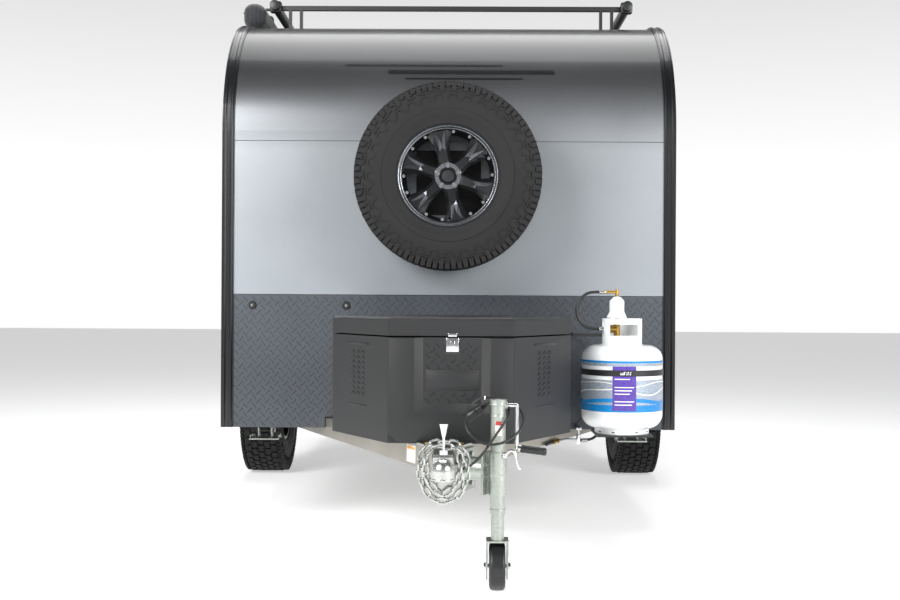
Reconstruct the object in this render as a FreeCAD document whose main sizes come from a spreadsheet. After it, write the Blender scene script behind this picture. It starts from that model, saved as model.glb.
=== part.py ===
import FreeCAD, Part
import math
import os
import re

import Sketcher
from FreeCAD import Placement, Rotation, Vector

# A small off-road travel trailer on its tongue jack. Millimetres, +Z up, ground at Z = 0.
# The tongue points along -Y, and the origin is on the ground under the middle of its outline.

SIZES = [
    # Lengths along the trailer
    ("body_length", 3050, "cabin, front wall to rear hatch, outside"),
    ("tongue_length", 1220, "front wall to the coupler's tip"),
    ("bumper_depth", 100, "rear wall to the bumper's rear face"),
    ("axle_back", 1640, "front wall back to the wheels' axis"),
    ("ball_inset", 37, "coupler's tip back to the hitch ball's centre"),
    # Cabin
    ("wall_half", 907, "middle to the side wall's outer face"),
    ("wall", 38, "thickness of walls, doors, floor and hatch"),
    ("skirt_height", 412, "ground to the walls' lower edge"),
    ("plate_top", 950, "top of the chequer plate on the front wall"),
    ("seam_height", 1571, "joint of the front sheet and the roof sheet"),
    ("roof_height", 2130, "top of the roof sheet"),
    ("front_radius", 520, "curve from front wall to roof"),
    ("rear_radius", 200, "curve from roof to rear hatch"),
    ("panel_seam", 2, "gap between neighbouring wall panels"),
    ("trim_lip", 48, "width of the edge extrusion seen from the front"),
    ("trim_leg", 42, "width of the edge extrusion on the side wall"),
    ("trim_proud", 6, "how far the edge extrusion stands off the front and roof"),
    ("trim_side", 8, "how far the edge extrusion stands off the side wall"),
    ("hatch_bottom", 1010, "lower edge of the rear hatch opening"),
    ("door_gap", 6, "gap all round a door or hatch"),
    ("door_back", 345, "front wall back to the door opening"),
    ("door_width", 680, "door opening"),
    ("door_bottom", 590, "door opening's lower edge"),
    ("door_height", 1200, "door opening"),
    ("door_radius", 60, "corners of the door and its opening"),
    ("window_width", 460, "door window"),
    ("window_height", 360, "door window"),
    ("window_drop", 140, "top of the door down to its window"),
    ("window_radius", 50, "corners of the door window"),
    ("glass", 8, "thickness of the door windows"),
    ("glass_gap", 0.5, "all round a door window, inside its seal"),
    # Chassis
    ("rail_half", 825, "middle to a chassis rail's outer face"),
    ("rail_width", 50, "chassis rail and cross member"),
    ("rail_height", 76, "chassis rail and cross member"),
    ("bar_bottom", 376, "ground to the drawbars"),
    ("bar_width", 50, "drawbar"),
    ("bar_height", 76, "drawbar"),
    ("bar_angle", 25.3, "each drawbar off the middle line"),
    ("bar_reach", 990, "front wall forward to the drawbars' front ends"),
    ("bar_spread", 490, "middle to a drawbar's outer face at the front wall"),
    ("bar_tail", 450, "front wall back to the drawbars' rear ends"),
    ("bar_slot", 4, "clearance round a drawbar where it passes the front wall"),
    # Wheels
    ("wheel_radius", 360, "tyre's outer radius"),
    ("tyre_width", 215, "road tyre"),
    ("tyre_bead", 192, "tyre's inner radius"),
    ("rim_width", 172, "wheel rim, lip to lip"),
    ("track_half", 980, "middle to a tyre's middle"),
    ("hub_radius", 84, "wheel hub"),
    ("spindle", 22, "radius of the axle's spindle"),
    ("spindle_gap", 1, "round the spindle in the hub"),
    ("well_depth", 39, "wheel well, in from the side wall"),
    ("well_half", 445, "axle to either end of the wheel well"),
    ("well_bottom", 470, "ground to the wheel well's lower edge"),
    ("well_skin", 3, "thickness of the wheel well"),
    ("fender_half", 1110, "middle to the fender's outer edge"),
    ("fender_top", 800, "top of the fender"),
    ("fender_foot", 430, "ground to the fender's lower ends"),
    ("fender_flat", 230, "axle to either end of the fender's flat top"),
    ("fender_slope", 470, "axle to the fender's lower ends"),
    ("fender_lip", 40, "depth of the fender's outer lip"),
    ("fender_sheet", 5, "thickness of the fender"),
    ("axle_tube", 60, "square tube of the torsion axle"),
    ("arm_length", 130, "torsion arm, tube to spindle"),
    # Coupler
    ("ball_mouth", 385, "ground to the mouth of the ball socket"),
    ("socket", 26, "radius of the ball socket"),
    ("chain_wire", 8, "radius of the safety chains, as plain loops"),
    # Spare wheel
    ("spare_radius", 359.5, "spare tyre's outer radius"),
    ("spare_width", 225, "spare tyre"),
    ("spare_height", 1402, "ground to the spare wheel's middle"),
    ("spare_standoff", 85, "front wall to the spare tyre"),
    # Tongue box
    ("box_shift", 20, "box's middle off the trailer's, toward the jack"),
    ("box_back_gap", 340, "front wall to the box's rear face"),
    ("box_corner_reach", 467, "front wall to the box's widest corner"),
    ("box_reach", 823, "front wall to the box's front face"),
    ("box_rear_half", 432.6, "half of the box's rear width"),
    ("box_front_half", 210, "half of the box's front width"),
    ("box_bottom", 452, "ground to the box"),
    ("box_seam", 805, "ground to the box's rim"),
    ("box_top", 872, "ground to the lid's top"),
    ("box_wall", 6, "thickness of the box and lid"),
    ("lid_gap", 5, "between the box and its lid"),
    ("knuckle", 3, "radius of the hinge knuckles on doors, hatch and lids"),
    # Gas cylinder
    ("tank_side", 662, "middle to the cylinder's axis"),
    ("tank_reach", 290, "front wall forward to the cylinder's axis"),
    ("tank_radius", 152, "cylinder"),
    ("tank_foot", 434, "ground to the foot ring"),
    ("foot_radius", 101.5, "foot ring"),
    ("foot_height", 50, "foot ring, up into the lower dome"),
    ("tank_shoulder", 772, "ground to the top of the upper dome"),
    ("dome", 52, "round edge of each domed end"),
    ("crown", 12, "rise of each domed end"),
    ("valve_height", 52, "top of the cylinder up to its valve's outlet"),
    ("elbow_height", 100, "collar's top up to the regulator's elbow"),
    ("collar_radius", 75, "collar round the valve"),
    ("collar_top", 864, "ground to the collar's top"),
    ("steel_sheet", 4, "thickness of the collar and foot ring"),
    ("strap_height", 665, "ground to the strap's middle"),
    ("strap_width", 22, "strap"),
    ("strap_sheet", 2.5, "thickness of the strap"),
    # Jack
    ("jack_side", 173, "middle to the jack's axis"),
    ("jack_reach", 980, "front wall forward to the jack's axis"),
    ("jack_top", 613, "ground to the jack's cap"),
    ("crank_reach", 60, "jack's axis to the crank's arm"),
    ("crank_drop", 136, "length of the crank's arm"),
    ("jack_tube_end", 250, "ground to the outer tube's lower end"),
    ("jack_radius", 24, "outer tube"),
    ("leg_radius", 21, "inner tube"),
    ("leg_gap", 0.6, "round the inner tube"),
    ("leg_top", 480, "ground to the inner tube's top, inside"),
    ("fork_top", 165, "ground to the caster fork"),
    ("fork_half", 35.5, "middle of the fork to its side"),
    ("fork_sheet", 5, "thickness of the fork"),
    ("caster_radius", 76, "jack wheel"),
    ("caster_width", 50, "jack wheel"),
    ("caster_trail", 25, "jack's axis back to the jack wheel's axle"),
    ("pin_radius", 6, "axle pins"),
    ("pin_gap", 0.4, "round an axle pin"),
    # Stabilisers
    ("leg_side", 780, "middle to a stabiliser"),
    ("leg_foot_inset", 280, "end wall to a stabiliser's foot"),
    ("leg_length", 380, "stabiliser, hinge to foot pin"),
    ("leg_slope", 7, "folded stabiliser below the horizontal"),
    ("leg_hinge", 415, "ground to a stabiliser's hinge"),
    ("leg_tube", 40, "square tube of a stabiliser"),
    ("leg_play", 5.5, "between a stabiliser and the plates beside it"),
    ("foot_half", 62, "half of a foot plate's width"),
    ("foot_drop", 35, "foot pin down to the foot plate's underside"),
    # Roof
    ("rack_half", 785, "middle to a roof rail"),
    ("rack_height", 2240, "ground to the roof rails' axis"),
    ("rack_radius", 21, "roof rail"),
    ("rack_start", 480, "front wall back to the roof rails"),
    ("rack_length", 2185, "roof rail"),
    ("rack_bar", 20, "crossbar's section"),
    ("rack_foot_half", 695, "middle to a crossbar's feet"),
    ("bag_outer", 930, "middle to the awning bag's outer face"),
    ("bag_width", 100, "awning bag"),
    ("bag_bottom", 2140, "ground to the awning bag"),
    ("bag_height", 120, "awning bag"),
    ("vent_back", 1265, "front wall back to the roof vent's middle"),
    ("vent_half", 200, "half of the roof vent's width"),
    ("vent_height", 35, "roof vent's frame"),
    ("vent_lid", 26, "roof vent's lid"),
    ("vent_gap", 5, "between the roof vent's frame and lid"),
    # Inside
    ("galley_depth", 905, "rear face to the galley's bulkhead"),
    ("board", 18, "thickness of the galley's boards"),
    ("mattress_half", 790, "middle to the mattress's side"),
    ("mattress_length", 2000, "mattress"),
    ("mattress_thick", 130, "mattress"),
]

# Places worked out from the sizes above, used by several sub-parts
PLACES = [
    ("front", "(tongue_length - body_length - bumper_depth) / 2"),
    ("rear", "front + body_length"),
    ("axle", "front + axle_back"),
    ("inner_half", "wall_half - wall"),
    ("bar_top", "bar_bottom + bar_height"),
    ("rail_bottom", "bar_top"),
    ("rail_top", "rail_bottom + rail_height"),
    ("floor_top", "rail_top + wall"),
    ("hatch_top", "roof_height - rear_radius"),
    ("bar_tip", "front - bar_reach"),
    ("bar_tip_half", "bar_spread - bar_reach * tan(bar_angle)"),
    ("ball", "front - tongue_length + ball_inset"),
    ("box_rear", "front - box_back_gap"),
    ("box_corner", "front - box_corner_reach"),
    ("box_front", "front - box_reach"),
    ("box_lean", "(box_rear_half - box_front_half) / (box_corner - box_front)"),
    ("tank", "front - tank_reach"),
    ("jack", "front - jack_reach"),
    ("caster_axle", "jack + caster_trail"),
    ("spare", "front - spare_standoff - spare_width / 2"),
    ("fender_lean", "(fender_slope - fender_flat) / (fender_top - fender_foot)"),
    ("fender_skew", "sqrt(1 + fender_lean * fender_lean)"),
    ("well_top", "fender_top - fender_sheet + well_skin"),
    ("door_front", "front + door_back"),
    ("door_rear", "door_front + door_width"),
    ("door_top", "door_bottom + door_height"),
    ("window_top", "door_top - window_drop"),
    ("vent", "front + vent_back"),
    ("vent_top", "roof_height + vent_height"),
    ("leg_run", "leg_length * cos(leg_slope)"),
    ("leg_fall", "leg_length * sin(leg_slope)"),
    ("foot_pin", "leg_hinge - leg_fall"),
    ("front_foot", "front + leg_foot_inset"),
    ("front_hinge", "front_foot + leg_run"),
    ("rear_foot", "rear - leg_foot_inset"),
    ("rear_hinge", "rear_foot - leg_run"),
    ("galley", "rear - galley_depth"),
]

doc = FreeCAD.newDocument("travel_trailer")
sheet = doc.addObject("Spreadsheet::Sheet", "sizes")
for line, (alias, number, note) in enumerate(SIZES, 1):
    sheet.set(f"A{line}", alias)
    sheet.set(f"B{line}", str(number))
    sheet.set(f"C{line}", note)
    sheet.setAlias(f"B{line}", alias)
doc.recompute()

places = doc.addObject("App::FeaturePython", "places")
IN_SHEET = {alias for alias, _, _ in SIZES}
IN_PLACES = {name for name, _ in PLACES}


def tied(formula):
    """A formula of size and place names as an expression that FreeCAD keeps live."""

    def source(match):
        name = match.group(0)
        if name in IN_SHEET:
            return "sizes." + name
        return "places." + name if name in IN_PLACES else name

    return re.sub(r"[a-z_]+[a-z_0-9]*", source, str(formula))


for name, formula in PLACES:
    places.addProperty("App::PropertyFloat", name, "Places")
    places.setExpression(name, tied(formula))
places.addProperty("App::PropertyFloat", "answer", "Working")
doc.recompute()

finished = []


def number(formula):
    """What a formula comes to now."""
    places.setExpression("answer", tied(formula))
    places.recompute()
    return places.answer


def bind(thing, prop, formula):
    thing.setExpression(prop, tied(formula))


def finish(node, thing):
    """Name a finished sub-part: its label is the node's and the file's name."""
    thing.Label = node
    finished.append(thing)
    return thing


# Primitives and booleans


def block(name, x, y, z):
    """A block between two places along each axis."""
    thing = doc.addObject("Part::Box", name)
    for side, axis, (low, high) in (("Length", "x", x), ("Width", "y", y), ("Height", "z", z)):
        bind(thing, side, f"({high}) - ({low})")
        bind(thing, f"Placement.Base.{axis}", low)
    return thing


ALONG = {
    "x": Rotation(Vector(0, 1, 0), 90),
    "y": Rotation(Vector(1, 0, 0), -90),
    "z": Rotation(),
}


def rod(name, axis, radius, span, centre, top_radius=None):
    """A cylinder, or a cone, between two places along an axis; centre is its other two places."""
    thing = doc.addObject("Part::Cone" if top_radius else "Part::Cylinder", name)
    thing.Placement = Placement(Vector(), ALONG[axis])
    bind(thing, "Radius1" if top_radius else "Radius", radius)
    if top_radius:
        bind(thing, "Radius2", top_radius)
    bind(thing, "Height", f"({span[1]}) - ({span[0]})")
    bind(thing, f"Placement.Base.{axis}", span[0])
    for letter, place in zip([a for a in "xyz" if a != axis], centre):
        bind(thing, f"Placement.Base.{letter}", place)
    return thing


def ball(name, radius, x, y, z):
    thing = doc.addObject("Part::Sphere", name)
    bind(thing, "Radius", radius)
    for letter, place in zip("xyz", (x, y, z)):
        bind(thing, f"Placement.Base.{letter}", place)
    return thing


def joined(name, *things):
    thing = doc.addObject("Part::MultiFuse", name)
    thing.Shapes = list(things)
    return thing


def shared(name, *things):
    thing = doc.addObject("Part::MultiCommon", name)
    thing.Shapes = list(things)
    return thing


def cut(name, base, *tools):
    thing = doc.addObject("Part::Cut", name)
    thing.Base = base
    thing.Tool = tools[0] if len(tools) == 1 else joined(name + "_tools", *tools)
    return thing


def mirrored(name, source, normal=Vector(1, 0, 0)):
    """The source's twin on the other side of the middle line."""
    thing = doc.addObject("Part::Mirroring", name)
    thing.Source = source
    thing.Normal = normal
    return thing


def both_sides(name, source):
    return joined(name, source, mirrored(name + "_twin", source))


def fillet(name, source, radius, chosen):
    """Round the edges of source that chosen(edge) picks."""
    doc.recompute()
    thing = doc.addObject("Part::Fillet", name)
    thing.Base = source
    size = number(radius)
    picks = [i for i, edge in enumerate(source.Shape.Edges, 1) if chosen(edge)]
    thing.Edges = [(i, size, size) for i in picks]
    return thing


def runs_along(axis):
    """A test for straight edges along one axis."""

    def test(edge):
        way = edge.Vertexes[-1].Point - edge.Vertexes[0].Point
        return abs(abs(way.dot(axis)) - way.Length) < 1e-6 and way.Length > 1e-6

    return test


# PartDesign bodies with sketches


def new_body(name, x="0", y="0", z="0", turn=None):
    body = doc.addObject("PartDesign::Body", name)
    if turn:
        body.Placement = Placement(Vector(), turn)
    for letter, place in zip("xyz", (x, y, z)):
        bind(body, f"Placement.Base.{letter}", place)
    return body


def sketch_on(body, name, plane, outlines):
    """A sketch on one of the body's planes, with each closed outline fully constrained.

    An outline is a list of corners, each (across, up) or (across, up, radius)."""
    sketch = body.newObject("Sketcher::SketchObject", name)
    support = next(f for f in body.Origin.OriginFeatures if f.Role == plane)
    sketch.AttachmentSupport = [(support, "")]
    sketch.MapMode = "FlatFace"
    for corners in outlines:
        draw_outline(sketch, corners)
    return sketch


def draw_outline(sketch, corners):
    spots = [Vector(number(c[0]), number(c[1]), 0) for c in corners]
    radii = [number(c[2]) if len(c) > 2 else 0 for c in corners]
    count = len(corners)
    starts, ends, arcs = [], [], {}
    for i, (spot, radius) in enumerate(zip(spots, radii)):
        to_last = (spots[i - 1] - spot).normalize()
        to_next = (spots[(i + 1) % count] - spot).normalize()
        half = to_last.getAngle(to_next) / 2
        reach = radius / math.tan(half)
        ends.append(spot + to_last * reach)
        starts.append(spot + to_next * reach)
        if radius:
            middle = spot + (to_last + to_next).normalize() * (radius / math.sin(half))
            bow = middle + (spot - middle).normalize() * radius
            arcs[i] = Part.Arc(ends[i], bow, starts[i])
    lines = []
    for i in range(count):
        segment = Part.LineSegment(starts[i], ends[(i + 1) % count])
        lines.append(sketch.addGeometry(segment, False))
    for i, corner in enumerate(corners):
        before, after = lines[i - 1], lines[i]
        if i in arcs:
            add_round_corner(sketch, arcs[i], before, after, spots[i], corner)
        else:
            sketch.addConstraint(Sketcher.Constraint("Coincident", before, 2, after, 1))
            pin_point(sketch, after, 1, spots[i], corner)


def add_round_corner(sketch, arc, before, after, spot, corner):
    bend = sketch.addGeometry(arc, False)
    meets_last = 1 if (sketch.getPoint(bend, 1) - sketch.getPoint(before, 2)).Length < 1e-6 else 2
    meets_next = 3 - meets_last
    sketch.addConstraint(Sketcher.Constraint("Tangent", before, 2, bend, meets_last))
    sketch.addConstraint(Sketcher.Constraint("Tangent", bend, meets_next, after, 1))
    radius = sketch.addConstraint(Sketcher.Constraint("Radius", bend, number(corner[2])))
    bind(sketch, f"Constraints[{radius}]", corner[2])
    corner_point = sketch.addGeometry(Part.Point(spot), True)
    pin_point(sketch, corner_point, 1, spot, corner)
    for line_index in (before, after):
        sketch.addConstraint(Sketcher.Constraint("PointOnObject", corner_point, 1, line_index))


def pin_point(sketch, geometry, end, spot, corner):
    """Hold a point at the place that its two formulas give."""
    for kind, here, formula in (("DistanceX", spot.x, corner[0]), ("DistanceY", spot.y, corner[1])):
        held = sketch.addConstraint(Sketcher.Constraint(kind, -1, 1, geometry, end, here))
        bind(sketch, f"Constraints[{held}]", formula)


def padded_outline(name, plane, outlines, length, x="0", y="0", z="0", turn=None):
    """A body: one sketch, padded along its plane's normal."""
    body = new_body(name, x, y, z, turn)
    pad = body.newObject("PartDesign::Pad", name + "_pad")
    pad.Profile = sketch_on(body, name + "_sketch", plane, outlines)
    bind(pad, "Length", length)
    body.Tip = pad
    return body


def turned_outline(name, outlines, x, y, z, turn=None):
    """A body turned about its own X axis from a sketch of (along, radius)."""
    body = new_body(name, x, y, z, turn)
    wheel = body.newObject("PartDesign::Revolution", name + "_turned")
    wheel.Profile = sketch_on(body, name + "_sketch", "XY_Plane", outlines)
    wheel.ReferenceAxis = (wheel.Profile[0], ["H_Axis"])
    wheel.Angle = 360
    body.Tip = wheel
    return body


# Cabin


def cabin_outline(inset):
    """The cabin seen from the side, drawn in from the outside by inset. Its lower edge stays."""
    return [
        (f"front + {inset}", "skirt_height"),
        (f"rear - {inset}", "skirt_height"),
        (f"rear - {inset}", f"roof_height - {inset}", f"rear_radius - {inset}"),
        (f"front + {inset}", f"roof_height - {inset}", f"front_radius - {inset}"),
    ]


def cabin_slice(name, inset, x_low, x_high):
    return padded_outline(name, "YZ_Plane", [cabin_outline(inset)], f"({x_high}) - ({x_low})", x=x_low)


def rounded_rectangle(low_y, high_y, low_z, high_z, radius):
    return [
        (low_y, low_z, radius),
        (high_y, low_z, radius),
        (high_y, high_z, radius),
        (low_y, high_z, radius),
    ]


def door_outline(inset):
    return rounded_rectangle(
        f"door_front + {inset}",
        f"door_rear - {inset}",
        f"door_bottom + {inset}",
        f"door_top - {inset}",
        f"door_radius - {inset}",
    )


def window_outline(inset):
    middle = "(door_front + door_rear) / 2"
    return rounded_rectangle(
        f"{middle} - window_width / 2 + {inset}",
        f"{middle} + window_width / 2 - {inset}",
        f"window_top - window_height + {inset}",
        f"window_top - {inset}",
        f"window_radius - {inset}",
    )


def side_walls():
    sheet_wall = cabin_slice("wall_blank", "0", "inner_half", "wall_half")
    doorway = padded_outline("doorway", "YZ_Plane", [door_outline("0")], "wall * 2", x="inner_half - wall / 2")
    arch = padded_outline(
        "arch", "YZ_Plane", [fender_outline("fender_sheet", "skirt_height - 10")], "wall * 2",
        x="inner_half - wall / 2", y="axle",
    )
    finish("side_walls", both_sides("side_walls", cut("wall_right", sheet_wall, doorway, arch)))


def with_knuckles(name, leaf, axis, middles, centre):
    """The leaf with its hinge's round knuckles, each 76 long, on the hinge's own axis."""
    pins = [
        rod(f"{name}_knuckle_{i}", axis, "knuckle", (f"{middle} - 38", f"{middle} + 38"), centre)
        for i, middle in enumerate(middles)
    ]
    return joined(name, leaf, *pins)


def doors():
    slab = padded_outline(
        "door_slab", "YZ_Plane", [door_outline("door_gap"), window_outline("0")], "wall", x="inner_half"
    )
    pane = padded_outline(
        "door_glass_right", "YZ_Plane", [window_outline("glass_gap")], "glass", x="wall_half - wall / 2"
    )
    heights = ("door_bottom + 190", "door_bottom + 600", "door_bottom + 1010")
    door = with_knuckles("door_right", slab, "z", heights, ("wall_half", "door_front + door_gap"))
    finish("door_right", door)
    finish("door_glass_right", pane)
    finish("door_left", mirrored("door_left", door))
    finish("door_glass_left", mirrored("door_glass_left", pane))


def front_and_roof():
    lower = block(
        "lower_blank",
        ("-inner_half", "inner_half"),
        ("front", "front + wall"),
        ("skirt_height", "plate_top - panel_seam"),
    )
    slot = drawbar("slot", "bar_slot")
    finish("front_lower_panel", cut("front_lower_panel", lower, slot, mirrored("slot_twin", slot)))
    upper = block(
        "front_wall",
        ("-inner_half", "inner_half"),
        ("front", "front + wall"),
        ("plate_top", "seam_height - panel_seam"),
    )
    finish("front_wall", upper)
    outer = cabin_slice("roof_outer", "0", "-inner_half", "inner_half")
    inner = cabin_slice("roof_inner", "wall", "-inner_half - 1", "inner_half + 1")
    below_front = block(
        "below_seam",
        ("-inner_half - 1", "inner_half + 1"),
        ("front - 1", "front + body_length / 2"),
        ("0", "seam_height"),
    )
    below_rear = block(
        "below_hatch_top",
        ("-inner_half - 1", "inner_half + 1"),
        ("front + body_length / 2 - 1", "rear + 1"),
        ("0", "hatch_top"),
    )
    hole = block(
        "vent_hole",
        ("-vent_half + 25", "vent_half - 25"),
        ("vent - vent_half + 25", "vent + vent_half - 25"),
        ("roof_height - wall - 1", "roof_height + 1"),
    )
    finish("roof_shell", cut("roof_shell", outer, inner, below_front, below_rear, hole))


def rear_end():
    panel = block(
        "rear_lower_panel",
        ("-inner_half", "inner_half"),
        ("rear - wall", "rear"),
        ("skirt_height", "hatch_bottom"),
    )
    finish("rear_lower_panel", panel)
    slab = block(
        "hatch_blank",
        ("-inner_half + trim_side", "inner_half - trim_side"),
        ("rear - wall", "rear"),
        ("hatch_bottom + door_gap", "hatch_top - door_gap"),
    )
    leaf = fillet("hatch_leaf", slab, "15", runs_along(Vector(0, 1, 0)))
    places_across = ("-600", "-200", "200", "600")
    hinge = ("rear", "hatch_top - door_gap")
    finish("rear_hatch", with_knuckles("rear_hatch", leaf, "x", places_across, hinge))


def edge_trims():
    outer = cabin_slice("trim_outer", "-trim_proud", "wall_half + trim_side - trim_lip", "wall_half + trim_side")
    over_wall = cabin_slice("trim_over_wall", "0", "inner_half - 20", "wall_half")
    opening = cabin_slice("trim_opening", "trim_leg", "inner_half - 20", "wall_half + trim_side + 1")
    trim = cut("trim_right", outer, over_wall, opening)
    finish("edge_trims", both_sides("edge_trims", trim))


def floor():
    deck = block(
        "floor_blank",
        ("-inner_half", "inner_half"),
        ("front + wall", "rear - wall"),
        ("rail_top", "floor_top"),
    )
    notch = block(
        "floor_notch",
        ("inner_half - well_depth", "inner_half + 1"),
        ("axle - well_half - well_skin", "axle + well_half + well_skin"),
        ("rail_top - 1", "floor_top + 1"),
    )
    finish("floor_panel", cut("floor_panel", deck, notch, mirrored("floor_notch_twin", notch)))


def wheel_wells():
    """A shallow tray behind each arch, open to the tyre and below."""
    shell = block(
        "well_shell",
        ("inner_half - well_depth", "inner_half"),
        ("axle - well_half - well_skin", "axle + well_half + well_skin"),
        ("well_bottom", "well_top"),
    )
    hollow = block(
        "well_hollow",
        ("inner_half - well_depth + well_skin", "inner_half + 1"),
        ("axle - well_half", "axle + well_half"),
        ("well_bottom - 1", "well_top - well_skin"),
    )
    finish("wheel_wells", both_sides("wheel_wells", cut("well_right", shell, hollow)))


def fender_outline(inset, foot):
    """Along from the axle and up from the ground: a flat top, and two slopes that end at foot."""
    reach = f"(fender_slope + (fender_foot - ({foot})) * fender_lean - {inset} * fender_skew)"
    shoulder = f"(fender_flat - {inset} * (fender_skew - fender_lean))"
    top = f"fender_top - {inset}"
    return [(f"-{reach}", foot), (f"-{shoulder}", top), (shoulder, top), (reach, foot)]


def fenders():
    """A folded sheet over each tyre with a lip round its outer edge."""

    def slice_of(name, inset, foot, low, high):
        return padded_outline(
            name, "YZ_Plane", [fender_outline(inset, foot)], f"({high}) - ({low})", x=low, y="axle"
        )

    over = slice_of("fender_over", "0", "fender_foot", "wall_half", "fender_half")
    under = slice_of("fender_under", "fender_sheet", "fender_foot - 1", "wall_half - 1", "fender_half - fender_sheet")
    mouth = slice_of("fender_mouth", "fender_lip", "fender_foot - 1", "wall_half - 1", "fender_half + 1")
    finish("fenders", both_sides("fenders", cut("fender_right", over, under, mouth)))


# Chassis


def drawbar(name, allowance="0"):
    """The right-hand drawbar, larger all round by allowance, trimmed at the middle and at both ends."""
    spare = "100"
    across = f"(bar_width + {allowance})"
    bar = doc.addObject("Part::Box", name + "_bar")
    bar.Placement = Placement(Vector(), Rotation(Vector(0, 0, 1), -number("bar_angle")))
    bind(bar, "Length", f"bar_width + 2 * {allowance}")
    bind(bar, "Width", f"(bar_reach + bar_tail) / cos(bar_angle) + 2 * {spare}")
    bind(bar, "Height", f"bar_height + 2 * {allowance}")
    bind(bar, "Placement.Base.x", f"bar_tip_half - {spare} * sin(bar_angle) - {across} * cos(bar_angle)")
    bind(bar, "Placement.Base.y", f"bar_tip - {spare} * cos(bar_angle) + {across} * sin(bar_angle)")
    bind(bar, "Placement.Base.z", f"bar_bottom - {allowance}")
    keep = block(
        name + "_keep",
        ("1", "inner_half"),
        ("bar_tip", "front + bar_tail"),
        ("bar_bottom - 20", "bar_top + 20"),
    )
    return shared(name, bar, keep)


def chassis():
    span = "rail_half - rail_width"
    rail = block("rail_right", (span, "rail_half"), ("front + wall", "rear - wall"), ("rail_bottom", "rail_top"))
    bar = drawbar("drawbar_right")
    finish("chassis_rails", joined("chassis_rails", both_sides("rails", rail), both_sides("drawbars", bar)))
    starts = ("front + wall", "front + bar_tail - rail_width", "axle - 330", "axle + 280", "rear - wall - rail_width")
    members = [
        block(
            f"member_{index}", (f"-({span})", span), (start, f"{start} + rail_width"), ("rail_bottom", "rail_top")
        )
        for index, start in enumerate(starts)
    ]
    mounts = [leg_bracket("bracket_front", "front_hinge"), leg_bracket("bracket_rear", "rear_hinge")]
    finish("cross_members", joined("cross_members", *members, both_sides("leg_mounts", joined("leg_mount", *mounts))))


def rear_bumper():
    height = ("rail_bottom - 20", "rail_top")
    beam = block("bumper_beam", ("-780", "780"), ("rear + bumper_depth - 70", "rear + bumper_depth"), height)
    bracket = block("bumper_bracket", ("560", "610"), ("rear", "rear + bumper_depth - 69"), height)
    finish("rear_bumper", joined("rear_bumper", beam, both_sides("bumper_brackets", bracket)))


def torsion_axle():
    """A square tube under the rails, with an arm at each end that trails back to the spindle."""
    tube_y = ("axle - arm_length - axle_tube / 2", "axle - arm_length + axle_tube / 2")
    tube = block("axle_beam", ("-rail_half - 8", "rail_half + 8"), tube_y, ("rail_bottom - axle_tube", "rail_bottom"))
    arm = padded_outline(
        "torsion_arm", "YZ_Plane",
        [[
            (f"-arm_length - 35", "rail_bottom - axle_tube"),
            (f"-arm_length - 35", "rail_bottom - 4"),
            (f"-arm_length + 35", "rail_bottom - 4"),
            ("36", "wheel_radius + 34"),
            ("36", "wheel_radius - 34"),
            ("-40", "wheel_radius - 34"),
        ]],
        "18", x="rail_half + 7", y="axle",
    )
    spindle = rod("spindle_right", "x", "spindle", ("rail_half + 20", "track_half + 30"), ("axle", "wheel_radius"))
    finish("torsion_axle", joined("torsion_axle", tube, both_sides("torsion_ends", joined("torsion_end", arm, spindle))))


def tyre_outline(radius, width):
    """Half a tyre's section, as (along the axle, radius), with rounded shoulders and bulging sides."""
    half = f"{width} / 2"
    return [
        ("-rim_width / 2", "tyre_bead"),
        ("rim_width / 2", "tyre_bead"),
        (half, f"(tyre_bead + {radius}) / 2", "60"),
        (f"{half} - 10", radius, "28"),
        (f"-({half} - 10)", radius, "28"),
        (f"-({half})", f"(tyre_bead + {radius}) / 2", "60"),
    ]


def rim_outlines():
    """The rim's barrel with its lips, and the spoked disc that carries it near the outer face."""
    edge = "rim_width / 2"
    return [[
        (f"-{edge}", "tyre_bead - 12"),
        ("35", "tyre_bead - 24"),
        ("35", "hub_radius"),
        ("-55", "hub_radius - 10"),
        ("-55", "spindle + spindle_gap"),
        ("64", "spindle + spindle_gap"),
        ("64", "hub_radius - 24"),
        ("58", "hub_radius"),
        ("58", "tyre_bead - 30"),
        (f"{edge}", "tyre_bead - 14"),
        (f"{edge}", "tyre_bead - 0.5"),
        (f"-{edge}", "tyre_bead - 0.5"),
    ]]


def rim(name, x, y, z, turn):
    """A six-spoke wheel: a turned rim and disc with six windows."""
    body = turned_outline(name, rim_outlines(), x, y, z, turn)
    doc.recompute()
    window = body.newObject("PartDesign::Pocket", name + "_window")
    window.Profile = sketch_on(
        body, name + "_window_sketch", "YZ_Plane",
        [[
            ("-20", "hub_radius + 16", "6"), ("20", "hub_radius + 16", "6"),
            ("46", "tyre_bead - 36", "9"), ("-46", "tyre_bead - 36", "9"),
        ]],
    )
    window.Type = "ThroughAll"
    window.Midplane = True
    body.Tip = window
    doc.recompute()
    spokes = body.newObject("PartDesign::PolarPattern", name + "_spokes")
    spokes.Originals = [window]
    spokes.Axis = (window.Profile[0], ["N_Axis"])
    spokes.Angle = 360
    spokes.Occurrences = 6
    body.Tip = spokes
    doc.recompute()
    return body


def road_wheels():
    for side, sign, turn in (("right", "", Rotation()), ("left", "-", Rotation(Vector(0, 0, 1), 180))):
        place = (f"{sign}track_half", "axle", "wheel_radius")
        tyre = turned_outline(f"tyre_{side}", [tyre_outline("wheel_radius", "tyre_width")], *place, turn)
        finish(f"tyre_{side}", tyre)
        finish(f"rim_{side}", rim(f"rim_{side}", *place, turn))


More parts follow.
